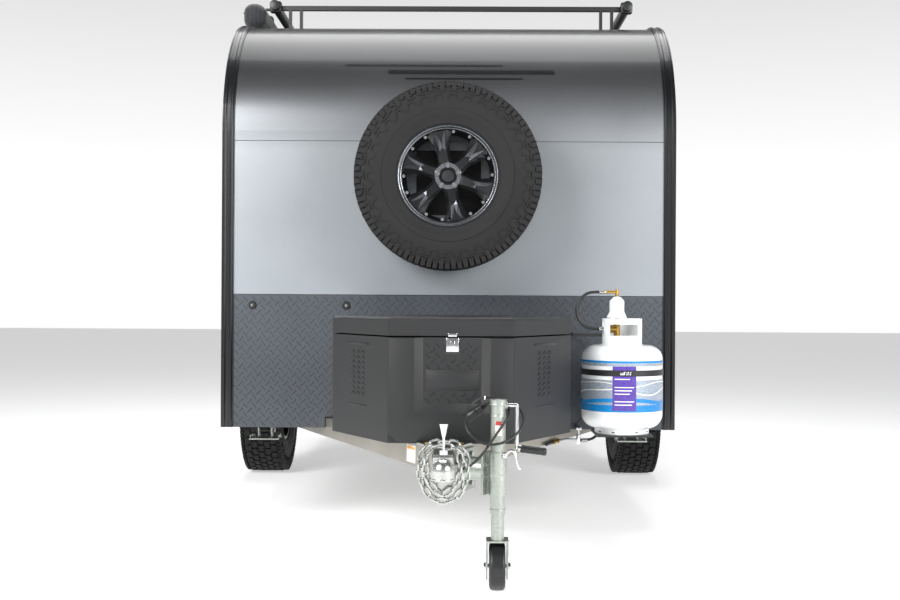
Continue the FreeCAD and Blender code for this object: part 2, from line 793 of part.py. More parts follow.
def spare_wheel():
    facing_front = Rotation(Vector(0, 0, 1), -90)
    place = ("0", "spare", "spare_height")
    tyre = turned_outline("spare_tyre", [tyre_outline("spare_radius", "spare_width")], *place, facing_front)
    finish("spare_tyre", tyre)
    finish("spare_rim", rim("spare_rim", *place, facing_front))
    plate = block("carrier_plate", ("-130", "130"), ("front - 8", "front"), ("spare_height - 130", "spare_height + 130"))
    post = rod("carrier_post", "y", "42", ("spare + 56", "front - 7"), ("0", "spare_height"))
    stub = rod("carrier_stub", "y", "spindle", ("spare - 60", "spare + 57"), ("0", "spare_height"))
    finish("spare_carrier", joined("spare_carrier", plate, post, stub))


# Coupler


def coupler():
    """A pressed ball housing, its neck, and the plate that ties it over the drawbars' ends."""
    skin = "6"
    housing = rod("ball_housing", "z", "ball_inset", ("ball_mouth", "ball_mouth + 29"), ("0", "ball"))
    dome = ball("ball_dome", "ball_inset", "0", "ball", "ball_mouth + 29")
    neck = block("coupler_neck", ("-30", "30"), ("ball", "bar_tip"), ("ball_mouth + 20", "bar_top + 1"))
    heel = "bar_tip_half + 150 * tan(bar_angle)"
    plate = padded_outline(
        "coupler_plate", "XY_Plane",
        [[
            ("-30", "ball + 30"), ("30", "ball + 30"), ("30", "bar_tip"), (heel, "bar_tip + 150"),
            (f"-({heel})", "bar_tip + 150"), ("-30", "bar_tip"),
        ]],
        skin, z="bar_top",
    )
    clamp = block("coupler_clamp", ("-23", "23"), ("ball + 60", "ball + 105"), ("ball_mouth - 40", "ball_mouth + 21"))
    nut = rod("coupler_nut", "z", "10", ("ball_mouth - 54", "ball_mouth - 39"), ("0", "ball + 85"))
    socket = rod("socket_bore", "z", "socket", ("ball_mouth - 1", "ball_mouth + 25"), ("0", "ball"))
    seat = ball("socket_seat", "socket", "0", "ball", "ball_mouth + 25")
    keep_clear = block("chain_slot", ("-31", "31"), ("ball + 37", "ball + 59"), ("ball_mouth - 60", "ball_mouth + 20"))
    gland = block("cord_gland", ("24", "44.3"), ("ball + 136", "ball + 152"), ("ball_mouth - 1", "ball_mouth + 27"))
    outside = joined("coupler_outside", housing, dome, neck, plate, clamp, nut, gland)
    below = block("mouth_clear", ("-40", "40"), ("ball - 40", "ball + 37"), ("ball_mouth - 20", "ball_mouth"))
    level = cut("coupler_level", outside, below)
    hollowed = cut("coupler_hollowed", cut("coupler_socketed", level, socket), seat)
    finish("coupler", cut("coupler", hollowed, keep_clear))


def coupler_latch():
    foot_z = "bar_top + 6"
    centre = ("2", "ball + 31")
    stem = rod("latch_stem", "z", "4", (foot_z, f"{foot_z} + 52"), centre)
    flare = rod("latch_flare", "z", "4", (f"{foot_z} + 50", f"{foot_z} + 94"), centre, "14")
    pivot = block("latch_pivot", ("-10", "14"), ("ball + 23", "ball + 36"), (foot_z, f"{foot_z} + 14"))
    finish("coupler_latch", joined("coupler_latch", stem, flare, pivot))


# Tongue box


def box_outline(inset):
    """The box seen from above, drawn in by inset, about its own middle."""
    lean_length = "sqrt(1 + box_lean * box_lean)"
    front_half = f"box_front_half + {inset} * (box_lean - {lean_length})"
    corner = f"box_front + (box_rear_half - box_front_half + {inset} * ({lean_length} - 1)) / box_lean"
    return [
        (f"-({front_half})", f"box_front + {inset}"),
        (front_half, f"box_front + {inset}"),
        (f"box_rear_half - {inset}", corner),
        (f"box_rear_half - {inset}", f"box_rear - {inset}"),
        (f"-(box_rear_half - {inset})", f"box_rear - {inset}"),
        (f"-(box_rear_half - {inset})", corner),
    ]


def box_slice(name, inset, low, high):
    return padded_outline(
        name, "XY_Plane", [box_outline(inset)], f"({high}) - ({low})", x="box_shift", z=low
    )


def tongue_box():
    outer = box_slice("box_outer", "0", "box_bottom", "box_seam")
    inner = box_slice("box_inner", "box_wall", "box_bottom + box_wall", "box_seam + 1")
    finish("tongue_box", cut("tongue_box", outer, inner))
    lid_outer = box_slice("lid_outer", "0", "box_seam + lid_gap", "box_top")
    softened = fillet("lid_soft", lid_outer, "14", lambda edge: edge.BoundBox.ZMin > number("box_top") - 0.1)
    lid_inner = box_slice("lid_inner", "box_wall", "box_seam + lid_gap - 1", "box_top - box_wall")
    leaf = cut("lid_leaf", softened, lid_inner)
    hinge = ("box_rear", "box_seam + lid_gap")
    finish("box_lid", with_knuckles("box_lid", leaf, "x", ("box_shift - 250", "box_shift", "box_shift + 250"), hinge))


# Gas cylinder


def gas_cylinder():
    """A steel cylinder with domed ends, a foot ring and a collar with a hand hole."""
    upright = Rotation(Vector(0, 1, 0), -90)
    shell = turned_outline(
        "cylinder_shell",
        [[
            ("tank_foot + 12", "0"),
            ("tank_foot + 12 + crown", "tank_radius", "dome"),
            ("tank_shoulder - crown", "tank_radius", "dome"),
            ("tank_shoulder", "0"),
        ]],
        "tank_side", "tank", "0", upright,
    )
    centre = ("tank_side", "tank")
    foot = cut(
        "cylinder_foot",
        rod("foot_outer", "z", "foot_radius", ("tank_foot", "tank_foot + foot_height"), centre),
        rod("foot_inner", "z", "foot_radius - steel_sheet", ("tank_foot - 1", "tank_foot + foot_height + 1"), centre),
    )
    collar = cut(
        "cylinder_collar",
        rod("collar_outer", "z", "collar_radius", ("tank_shoulder - 14", "collar_top"), centre),
        rod("collar_inner", "z", "collar_radius - steel_sheet", ("tank_shoulder - 15", "collar_top + 1"), centre),
        block(
            "hand_hole",
            ("tank_side - 52", "tank_side + 52"),
            ("tank - collar_radius - 1", "tank"),
            ("collar_top - 64", "collar_top - 21"),
        ),
        block(
            "hose_hole",
            ("tank_side - collar_radius - 1", "tank_side - 40"),
            ("tank - 22", "tank + 22"),
            ("tank_shoulder + valve_height - 26", "collar_top - 12"),
        ),
    )
    finish("gas_cylinder", joined("gas_cylinder", shell, foot, collar))


def gas_regulator():
    """The valve inside the collar, the domed regulator above it and the regulator's elbow."""
    x, y = "tank_side - 20", "tank"
    body = turned_outline(
        "gas_regulator",
        [[
            ("collar_top + 1", "0"), ("collar_top + 1", "40", "4"), ("collar_top + 26", "28", "10"),
            ("collar_top + 66", "28", "14"), ("collar_top + 82", "12", "4"), ("collar_top + 82", "0"),
        ]],
        x, y, "0", Rotation(Vector(0, 1, 0), -90),
    )
    finish("gas_regulator", body)
    stem = rod("valve_stem", "z", "12", ("tank_shoulder - 0.5", "collar_top - 20"), (x, y))
    neck = rod("valve_neck", "z", "8", ("collar_top - 21", "collar_top + 0.9"), (x, y))
    nut = rod("valve_nut", "x", "15", (f"{x} - 30", x), (y, "tank_shoulder + valve_height"))
    stub = rod("elbow_stub", "z", "7", ("collar_top + 82.1", "collar_top + elbow_height + 9"), (x, y))
    arm = rod("elbow_arm", "x", "6", (f"{x} - 43", f"{x} + 5"), (y, "collar_top + elbow_height"))
    finish("gas_fittings", joined("gas_fittings", stem, neck, nut, stub, arm))


def cylinder_tray():
    """The tray under the cylinder, on an arm with its foot on the front wall."""
    reach = "foot_radius + 2"
    under = ("tank_foot - 8", "tank_foot")
    sides = ("tank_side - 40", "tank_side + 40")
    tray = block("tray_plate", (f"tank_side - ({reach})", f"tank_side + {reach}"), (f"tank - ({reach})", f"tank + {reach}"), under)
    arm = block("tray_arm", sides, ("tank + foot_radius", "front"), under)
    back = block("tray_back", sides, ("front - 6", "front"), ("tank_foot - 1", "strap_height - 65"))
    return joined("cylinder_tray", tray, arm, back)


def cylinder_carrier():
    """The tray, the post and strap that hold the cylinder, and the bar beside its collar."""
    post = block(
        "carrier_arm",
        ("tank_side - 30", "tank_side + 30"),
        ("tank + tank_radius + 0.3", "front"),
        ("strap_height - 40", "strap_height + 40"),
    )
    centre = ("tank_side", "tank")
    span = ("strap_height - strap_width / 2", "strap_height + strap_width / 2")
    strap = cut(
        "cylinder_strap",
        rod("strap_outer", "z", "tank_radius + 0.3 + strap_sheet", span, centre),
        rod("strap_inner", "z", "tank_radius + 0.3", ("strap_height - 60", "strap_height + 60"), centre),
    )
    bar = block("hold_down_bar", ("475", "tank_side - collar_radius - 1"), ("tank - 6", "tank + 6"), ("795", "807"))
    bar_arm = block("hold_down_arm", ("475", "487"), ("tank - 6", "front"), ("795", "807"))
    finish("cylinder_carrier", joined("cylinder_carrier", cylinder_tray(), post, strap, bar, bar_arm))


def gas_line():
    """The rigid pipe along the right drawbar, the valve at its end and the hose's fitting on the wall."""
    valve = ("520", "front - 91")
    height = "bar_bottom + 6"
    body = rod("line_valve", "z", "9", (f"{height} - 14", f"{height} + 20"), valve)
    stem = rod("line_stem", "z", "4", (f"{height} + 19", f"{height} + 40"), valve)
    bracket = block("line_bracket", ("510", "530"), ("front - 101", "front"), (f"{height} + 39", f"{height} + 44"))
    fitting = rod("wall_fitting", "y", "11", ("front - 12", "front"), ("608", "tank_foot + 186"))
    slope, out = math.tan(math.radians(number("bar_angle"))), 9
    route = []
    for ahead in (250, 190, 130):
        route.append((number("bar_spread") - slope * ahead + out, number("front") - ahead - out / 2, number(height)))
    wall = number("front")
    route += [(457, wall - 110, number(height)), (479, wall - 96, number(height)), (513, wall - 91, number(height))]
    pipe = tube_along("line_pipe", route, 10)
    finish("gas_line", joined("gas_line", pipe, body, stem, bracket, fitting))


# Tongue jack


def jack():
    centre = ("jack_side", "jack")
    outer = rod("jack_outer", "z", "jack_radius", ("jack_tube_end", "jack_top - 12"), centre)
    bore = rod("jack_bore", "z", "leg_radius + leg_gap", ("jack_tube_end - 1", "jack_top - 40"), centre)
    cap = rod("jack_cap", "z", "jack_radius + 3", ("jack_top - 14", "jack_top"), centre)
    level = "(jack_top - 18)"
    head = rod("jack_head", "x", "12", ("jack_side", "jack_side + jack_radius + 6"), ("jack", level))
    finish("jack_tube", cut("jack_tube", joined("jack_tube_blank", outer, cap, head), bore))

    arm_x = "(jack_side + crank_reach)"
    low = f"({level} - crank_drop)"
    shaft = rod("crank_shaft", "x", "6", ("jack_side + jack_radius + 6", arm_x), ("jack", level))
    bend = ball("crank_bend", "6", arm_x, "jack", level)
    arm = rod("crank_arm", "z", "6", (low, level), (arm_x, "jack"))
    knee = ball("crank_knee", "6", arm_x, "jack", low)
    droop = 7
    grip = doc.addObject("Part::Cylinder", "crank_grip")
    grip.Placement = Placement(Vector(), Rotation(Vector(0, 1, 0), 90 + droop))
    bind(grip, "Radius", "11.5")
    bind(grip, "Height", "90")
    bind(grip, "Placement.Base.x", f"{arm_x} + 4")
    bind(grip, "Placement.Base.y", "jack")
    bind(grip, "Placement.Base.z", f"{low} - 1")
    finish("jack_crank", joined("jack_crank", shaft, bend, arm, knee, grip))

    leg = cut(
        "jack_leg",
        rod("leg_outer", "z", "leg_radius", ("fork_top + 0.5", "leg_top"), centre),
        rod("leg_inner", "z", "leg_radius - 3", ("fork_top + 8", "leg_top + 1"), centre),
    )
    finish("jack_leg", leg)


def jack_bracket():
    """A plate on the drawbar's outer face and a swivel drum, out to the clamp round the jack."""
    turn = Rotation(Vector(0, 0, 1), -number("bar_angle"))
    low, high = "bar_bottom - 67", "bar_top - 7"
    # the jack's axis, measured along the drawbar's face and out from it
    along = "((jack_side - bar_tip_half) * sin(bar_angle) + (jack - bar_tip) * cos(bar_angle))"
    out = "((jack_side - bar_tip_half) * cos(bar_angle) - (jack - bar_tip) * sin(bar_angle))"

    def plate(name, along_span, out_span, z_span):
        thing = doc.addObject("Part::Box", name)
        thing.Placement = Placement(Vector(), turn)
        for prop, (start, end) in (("Width", along_span), ("Length", out_span), ("Height", z_span)):
            bind(thing, prop, f"({end}) - ({start})")
        a, o = f"({along_span[0]})", f"({out_span[0]})"
        bind(thing, "Placement.Base.x", f"bar_tip_half + {a} * sin(bar_angle) + {o} * cos(bar_angle)")
        bind(thing, "Placement.Base.y", f"bar_tip + {a} * cos(bar_angle) - {o} * sin(bar_angle)")
        bind(thing, "Placement.Base.z", z_span[0])
        return thing

    fixed = plate("bracket_fixed", (f"{along} - 10", f"{along} + 100"), ("0", "8"), (low, high))
    drum = doc.addObject("Part::Cylinder", "bracket_drum")
    drum.Placement = Placement(Vector(), turn.multiply(ALONG["x"]))
    bind(drum, "Radius", "38")
    bind(drum, "Height", f"{out} - jack_radius - 14 - 7")
    bind(drum, "Placement.Base.x", f"bar_tip_half + {along} * sin(bar_angle) + 7 * cos(bar_angle)")
    bind(drum, "Placement.Base.y", f"bar_tip + {along} * cos(bar_angle) - 7 * sin(bar_angle)")
    bind(drum, "Placement.Base.z", "(bar_bottom + bar_top) / 2 - 27")
    inner = f"{out} - jack_radius - 18"
    swivel = plate("bracket_swivel", (f"{along} - 38", f"{along} + 38"), (inner, f"{inner} + 8"), (low, high))
    saddle = plate("bracket_saddle", (f"{along} - 9", f"{along} + 9"), (f"{inner} + 7", out), (low, high))
    centre = ("jack_side", "jack")
    collar = rod("bracket_collar", "z", "jack_radius + 5", (low, high), centre)
    clear = rod("bracket_clear", "z", "jack_radius", (f"{low} - 1", f"{high} + 1"), centre)
    solid = joined("bracket_solid", fixed, drum, swivel, saddle, collar)
    finish("jack_bracket", cut("jack_bracket", solid, clear))


def caster():
    """The fork that swivels under the jack, and its wheel on a pin behind the jack's axis."""
    axle_z = "caster_radius"
    crown = block(
        "fork_crown",
        ("jack_side - fork_half", "jack_side + fork_half"),
        ("jack - 30", "caster_axle + 20"),
        ("fork_top - fork_sheet", "fork_top"),
    )
    cheeks = []
    for index, low in enumerate(("jack_side + fork_half - fork_sheet", "jack_side - fork_half")):
        cheek = padded_outline(
            f"fork_cheek_{index}", "YZ_Plane",
            [[
                ("jack - 30", "fork_top"), ("caster_axle + 20", "fork_top"),
                ("caster_axle + 14", f"{axle_z} - 42"), ("caster_axle - 14", f"{axle_z} - 42"),
                ("caster_axle - 22", f"{axle_z} + 10"),
            ]],
            "fork_sheet", x=low,
        )
        cheeks.append(cheek)
    pin_span = ("jack_side - fork_half - 7", "jack_side + fork_half + 7")
    pin = rod("fork_pin", "x", "pin_radius", pin_span, ("caster_axle", axle_z))
    finish("caster_fork", joined("caster_fork", crown, *cheeks, pin))
    wheel = turned_outline(
        "caster_wheel",
        [[
            ("-caster_width / 2", "pin_radius + pin_gap"),
            ("caster_width / 2", "pin_radius + pin_gap"),
            ("caster_width / 2", "caster_radius", "9"),
            ("-caster_width / 2", "caster_radius", "9"),
        ]],
        "jack_side", "caster_axle", axle_z,
    )
    finish("caster_wheel", wheel)


# Stabilisers


def stabilisers():
    """Four folding legs, each with a foot plate that hangs level from its pin."""
    for end, hinge_y, foot_y, way in (
        ("front", "front_hinge", "front_foot", 1),
        ("rear", "rear_hinge", "rear_foot", -1),
    ):
        leg = leg_tube(f"leg_{end}", hinge_y, foot_y, way)
        foot = foot_plate(f"foot_{end}", foot_y)
        finish(f"stabiliser_leg_{end}_right", leg)
        finish(f"stabiliser_foot_{end}_right", foot)
        finish(f"stabiliser_leg_{end}_left", mirrored(f"leg_{end}_left", leg))
        finish(f"stabiliser_foot_{end}_left", mirrored(f"foot_{end}_left", foot))


def leg_tube(name, hinge_y, foot_y, way):
    """A square tube with an eye at the hinge and a toe at the foot pin; way is 1 when the foot is ahead."""
    half, sink, inset = "leg_tube / 2", "17", "12"
    beam = doc.addObject("Part::Box", name + "_beam")
    beam.Placement = Placement(Vector(), Rotation(Vector(1, 0, 0), number("leg_slope") * way))
    bind(beam, "Length", "leg_tube")
    bind(beam, "Width", f"leg_length - 2 * {inset}")
    bind(beam, "Height", f"2 * {sink}")
    along = inset if way > 0 else f"(leg_length - {inset})"
    bind(beam, "Placement.Base.x", f"leg_side - {half}")
    bind(beam, "Placement.Base.y", f"{foot_y} + {way} * ({along} * cos(leg_slope) + {sink} * sin(leg_slope))")
    bind(beam, "Placement.Base.z", f"foot_pin + {along} * sin(leg_slope) - {sink} * cos(leg_slope)")
    eye = rod(name + "_eye", "x", "17", (f"leg_side - {half}", f"leg_side + {half}"), (hinge_y, "leg_hinge"))
    toe = rod(name + "_toe", "x", "14", (f"leg_side - {half}", f"leg_side + {half}"), (foot_y, "foot_pin"))
    hole_span = (f"leg_side - {half} - 1", f"leg_side + {half} + 1")
    hinge_hole = rod(name + "_hinge_hole", "x", "pin_radius + pin_gap", hole_span, (hinge_y, "leg_hinge"))
    foot_hole = rod(name + "_foot_hole", "x", "pin_radius + pin_gap", hole_span, (foot_y, "foot_pin"))
    return cut(name, joined(name + "_solid", beam, eye, toe), foot_hole, hinge_hole)


def foot_plate(name, foot_y):
    under = "foot_pin - foot_drop"
    plate = block(
        name + "_plate",
        ("leg_side - foot_half", "leg_side + foot_half"),
        (f"{foot_y} - 50", f"{foot_y} + 50"),
        (under, f"{under} + 5"),
    )
    ears = leg_cheeks(name, foot_y, 14, (under, "foot_pin + 12"))
    pin = rod(name + "_pin", "x", "pin_radius", ("leg_side - 39", "leg_side + 39"), (foot_y, "foot_pin"))
    return joined(name, plate, *ears, pin)


def leg_cheeks(name, y, half_depth, z_span):
    """A plate each side of the leg, with room for it to swing between them."""
    lows = ("leg_side + leg_tube / 2 + leg_play", "leg_side - leg_tube / 2 - leg_play - 5")
    return [
        block(f"{name}_cheek_{i}", (low, f"{low} + 5"), (f"{y} - {half_depth}", f"{y} + {half_depth}"), z_span)
        for i, low in enumerate(lows)
    ]


def leg_bracket(name, hinge_y):
    cheeks = leg_cheeks(name, hinge_y, 22, ("leg_hinge - 16", "rail_bottom"))
    outer = "leg_tube / 2 + leg_play + 5"
    crown = block(
        name + "_crown", (f"leg_side - {outer}", f"leg_side + {outer}"), (f"{hinge_y} - 22", f"{hinge_y} + 22"),
        ("leg_hinge + 17 + leg_play", "rail_bottom"),
    )
    pin = rod(name + "_pin", "x", "pin_radius", ("leg_side - 38", "leg_side + 38"), (hinge_y, "leg_hinge"))
    return joined(name, crown, *cheeks, pin)


# Roof


def roof_rack():
    """Two round rails on square crossbars, with a pair of uprights at each end of a crossbar."""
    rail_span = ("front + rack_start", "front + rack_start + rack_length")
    rail = rod("rack_rail", "y", "rack_radius", rail_span, ("rack_half", "rack_height"))
    low_z = "(rack_height - 16)"
    bars, feet, hangers = [], [], []
    for index, offset in enumerate(("45", "1085", "2085")):
        low = f"(front + rack_start + {offset} - rack_bar / 2)"
        bar_y = (low, f"{low} + rack_bar")
        bars.append(block(f"rack_bar_{index}", ("-rack_half", "rack_half"), bar_y, (low_z, f"{low_z} + rack_bar")))
        for twin, x in enumerate(("rack_foot_half - 31", "rack_foot_half + 18")):
            foot_z = ("roof_height", f"{low_z} + 1")
            feet.append(block(f"rack_foot_{index}_{twin}", (x, f"{x} + 13"), bar_y, foot_z))
        hanger_x = ("-bag_outer + bag_width", "-rack_half")
        hangers.append(block(f"bag_hanger_{index}", hanger_x, bar_y, (low_z, f"{low_z} + 8")))
    sides = both_sides("rack_sides", joined("rack_side", rail, *feet))
    finish("roof_rack", joined("roof_rack", sides, *bars, *hangers))


def awning_bag():
    start = "front + rack_start + 5"
    bag = block(
        "bag_blank",
        ("-bag_outer", "-bag_outer + bag_width"),
        (start, f"{start} + rack_length + 10"),
        ("bag_bottom", "bag_bottom + bag_height"),
    )
    finish("awning_bag", fillet("awning_bag", bag, "22", runs_along(Vector(0, 1, 0))))


def roof_vent():
    ring = block(
        "vent_ring",
        ("-vent_half", "vent_half"),
        ("vent - vent_half", "vent + vent_half"),
        ("roof_height", "vent_top"),
    )
    opening = block(
        "vent_opening",
        ("-vent_half + 25", "vent_half - 25"),
        ("vent - vent_half + 25", "vent + vent_half - 25"),
        ("roof_height - 1", "vent_top + 1"),
    )
    finish("roof_vent", cut("roof_vent", ring, opening))
    cover = block(
        "vent_cover",
        ("-vent_half - 8", "vent_half + 8"),
        ("vent - vent_half - 8", "vent + vent_half + 8"),
        ("vent_top + vent_gap", "vent_top + vent_gap + vent_lid"),
    )
    top_edges = lambda edge: edge.BoundBox.ZMin > number("vent_top + vent_gap") + 1
    hinge = ("vent + vent_half + 8", "vent_top + vent_gap")
    finish("vent_lid", with_knuckles("vent_lid", fillet("vent_leaf", cover, "12", top_edges), "x", ("-100", "100"), hinge))


# Lights


def marker_lights():
    """Tail lamps on the rear face, and a slim marker behind each edge extrusion of the side walls."""
    tail = block("tail_lamp", ("640", "830"), ("rear", "rear + 24"), ("820", "910"))
    lamps = [tail]
    starts = ("front + trim_leg + 4", "rear - trim_leg - 34")
    for index, start in enumerate(starts):
        side_x = ("wall_half", "wall_half + trim_side + 6")
        lamps.append(block(f"side_marker_{index}", side_x, (start, f"{start} + 30"), ("810", "909")))
    finish("marker_lights", both_sides("marker_lights", joined("lamps_right", *lamps)))


# Inside


def mattress():
    foot_end = "front + wall + 47"
    pad = block(
        "mattress_blank",
        ("-mattress_half", "mattress_half"),
        (foot_end, f"{foot_end} + mattress_length"),
        ("floor_top", "floor_top + mattress_thick"),
    )
    finish("mattress", fillet("mattress", pad, "35", lambda edge: True))


def galley_cabinet():
    """A bulkhead with a worktop, dividers and a high shelf behind it, reached through the hatch."""
    half = "inner_half - 2"
    upright = ("floor_top", "hatch_bottom - 10 - board")
    depth = ("galley + board", "rear - wall - 28")
    shallow = ("galley + board", "galley + board + 320")
    boards = [
        block("bulkhead", (f"-({half})", half), ("galley", "galley + board"), ("floor_top", "roof_height - wall")),
        block("worktop", (f"-({half})", half), depth, ("hatch_bottom - 10 - board", "hatch_bottom - 10")),
        block("shelf", (f"-({half})", half), shallow, ("1480", "1480 + board")),
        block("shelf_top", (f"-({half})", half), shallow, ("1800", "1800 + board")),
    ]
    for index, x in enumerate((f"-({half})", "-300 - board", "300", f"{half} - board")):
        boards.append(block(f"divider_{index}", (x, f"{x} + board"), depth, upright))
    for index, x in enumerate((f"-({half})", "-board / 2", f"{half} - board")):
        boards.append(block(f"high_divider_{index}", (x, f"{x} + board"), shallow, ("1480 + board", "1800")))
    finish("galley_cabinet", joined("galley_cabinet", *boards))


# Cord, hoses and chains: straight runs joined by tangent arcs


def smooth_path(points, closed=False):
    """A wire through the points with each corner an arc as large as its two runs allow."""
    spots = [Vector(*p) for p in points]
    count = len(spots)
    bends = range(count) if closed else range(1, count - 1)
    arcs, radii = {}, []
    for i in bends:
        spot = spots[i]
        to_last = spots[i - 1] - spot
        to_next = spots[(i + 1) % count] - spot
        if to_last.getAngle(to_next) > math.pi - 1e-6:
            continue
        shorter = min(to_last.Length, to_next.Length)
        half = to_last.getAngle(to_next) / 2
        radius = 0.45 * shorter / math.tan(math.pi / 2 - half)
        to_last.normalize()
        to_next.normalize()
        reach = 0.45 * shorter
        middle = spot + (to_last + to_next).normalize() * (radius / math.sin(half))
        bow = middle + (spot - middle).normalize() * radius
        arcs[i] = (spot + to_last * reach, bow, spot + to_next * reach)
        radii.append(radius)
    edges = []
    stops = range(count) if closed else range(count - 1)
    for i in stops:
        j = (i + 1) % count
        begin = arcs[i][2] if i in arcs else spots[i]
        end = arcs[j][0] if j in arcs else spots[j]
        edges.append(Part.LineSegment(begin, end).toShape())
        if j in arcs:
            edges.append(Part.Arc(*arcs[j]).toShape())
    return Part.Wire(edges), radii


def tube_along(name, points, diameter, closed=False):
    """A round tube on such a path, checked against its section times its length."""
    path, radii = smooth_path(points, closed)
    first = path.Edges[0]
    way = first.tangentAt(first.FirstParameter)
    ring = Part.Wire([Part.Circle(first.valueAt(first.FirstParameter), way, diameter / 2).toShape()])
    solid = path.makePipeShell([ring], True, False)
    expected = math.pi * diameter**2 / 4 * path.Length
    if abs(solid.Volume / expected - 1) > 0.01:
        raise ValueError(f"{name}: the tube's volume is {solid.Volume:.0f}, not {expected:.0f}")
    print(f"{name}: {path.Length:.0f} mm long, bends {', '.join(f'{r:.0f}' for r in radii)} mm")
    thing = doc.addObject("Part::Feature", name)
    thing.Shape = solid
    return thing


# The seven-way wiring cord leaves the neck beside the coupler, is looped over the jack and ends in its plug.
WIRING_DIAMETER = 8.5
WIRING_ROUTE = [
    (46, -2004, 392), (72, -2003, 401), (100, -2001, 420), (124, -1998, 446), (145, -1993, 476),
    (167, -1987, 507), (189, -1978, 537), (206, -1962, 562), (210, -1938, 582), (199, -1916, 598),
    (175, -1905, 610), (146, -1903, 617), (116, -1908, 614), (91, -1922, 600), (74, -1944, 578),
    (66, -1970, 550), (73, -1993, 520), (93, -2006, 496), (120, -2012, 481), (150, -2012, 476),
    (182, -2007, 480), (212, -1997, 493), (238, -1981, 513), (253, -1958, 538), (255, -1931, 563),
    (242, -1907, 584), (218, -1892, 601), (189, -1885, 609), (163, -1883, 605), (140, -1883, 592),
]
PLUG_AXIS = Vector(-0.83, 0, -0.56).normalize()
PLUG_LENGTH = 84
PLUG_RADIUS = 16


def wiring():
    finish("wiring_cord", tube_along("wiring_cord", WIRING_ROUTE, WIRING_DIAMETER))
    start = Vector(*WIRING_ROUTE[-1])
    boot = Part.makeCone(6, PLUG_RADIUS, 22, start, PLUG_AXIS)
    barrel = Part.makeCylinder(PLUG_RADIUS, PLUG_LENGTH - 22, start + PLUG_AXIS * 22, PLUG_AXIS)
    plug = doc.addObject("Part::Feature", "trailer_plug")
    plug.Shape = boot.fuse(barrel).removeSplitter()
    finish("trailer_plug", plug)


# The short hose from the regulator's elbow down to the cylinder valve, in the plane of the tank's axis
PIGTAIL_DIAMETER = 11


def pigtail():
    x, y = number("tank_side"), number("tank")
    high, low = number("collar_top + elbow_height"), number("tank_shoulder + valve_height")
    middle, rise, bulge = (high + low) / 2, (high - low) / 2, 66
    route = [(x - 63, y, high)]
    for step in range(9):
        angle = math.pi * (0.5 + step / 8)
        route.append((x - 107 + bulge * math.cos(angle), y, middle + rise * math.sin(angle)))
    route.append((x - 50.2, y, low))
    finish("gas_pigtail", tube_along("gas_pigtail", route, PIGTAIL_DIAMETER))


# The supply hose from the valve on the gas line, up beside the tray's arm to a fitting on the wall
SUPPLY_DIAMETER = 11


def supply_hose():
    wall, tray = number("front"), number("tank_foot")
    y, side = wall - 91, 608
    low, high = tray - 55, tray + 186
    route = [
        (529.2, y, low), (562, y, low), (591.4, y, low + 16.6), (side, y, low + 45.4),
        (side, y, low + 90), (side, y, low + 135), (side, y, high - 45.4),
        (side, y + 16.6, high - 16.6), (side, y + 45.4, high), (side, wall - 12.2, high),
    ]
    finish("supply_hose", tube_along("supply_hose", route, SUPPLY_DIAMETER))


def safety_chains():
    """Two plain loops in place of the links, hung round the coupler's neck behind the ball."""
    back = number("ball")
    wire = number("chain_wire")
    outer = [
        (-52, 478), (-70, 430), (-66, 372), (-38, 326), (2, 311), (42, 326), (68, 372), (73, 430), (54, 478), (2, 492),
    ]
    inner = [(-44, 470), (-52, 424), (-44, 376), (0, 336), (44, 376), (52, 424), (44, 470), (0, 482)]
    loops = []
    for index, (corners, y) in enumerate(((inner, back + 46 + 0.0), (outer, back + 48 + 2 * wire))):
        route = [(x, y, z) for x, z in corners]
        loops.append(tube_along(f"chain_{index}", route, 2 * wire, closed=True))
    finish("safety_chains", joined("safety_chains", *loops))


def build():
    side_walls()
    doors()
    front_and_roof()
    rear_end()
    edge_trims()
    floor()
    wheel_wells()
    fenders()
    chassis()
    rear_bumper()
    torsion_axle()
    road_wheels()
    spare_wheel()
    coupler()
    coupler_latch()
    tongue_box()
    gas_cylinder()
    gas_regulator()
    cylinder_carrier()
    gas_line()
    jack()
    jack_bracket()
    caster()
    stabilisers()
    roof_rack()
    awning_bag()
    roof_vent()
    marker_lights()
    mattress()
    galley_cabinet()
    wiring()
    pigtail()
    supply_hose()
    safety_chains()


def check_and_export():
    """Stop if anything failed to build, then write one STEP file for each sub-part."""
    failed = [thing.Label for thing in doc.Objects if {"Invalid", "Error"} & set(thing.State)]
    if failed:
        raise RuntimeError(f"these objects failed: {', '.join(failed)}")
    for thing in finished:
        if thing.Shape.isNull() or not thing.Shape.isValid() or not thing.Shape.Solids:
            raise RuntimeError(f"{thing.Label} has no valid solid")
    os.makedirs("parts", exist_ok=True)
    for thing in finished:
        thing.Shape.exportStep(f"parts/{thing.Label}.step")
    print(len(finished), "sub-parts written")


build()
doc.recompute()
check_and_export()
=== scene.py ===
import math
import random

import bpy
import bmesh
from mathutils import Euler, Matrix, Vector, noise


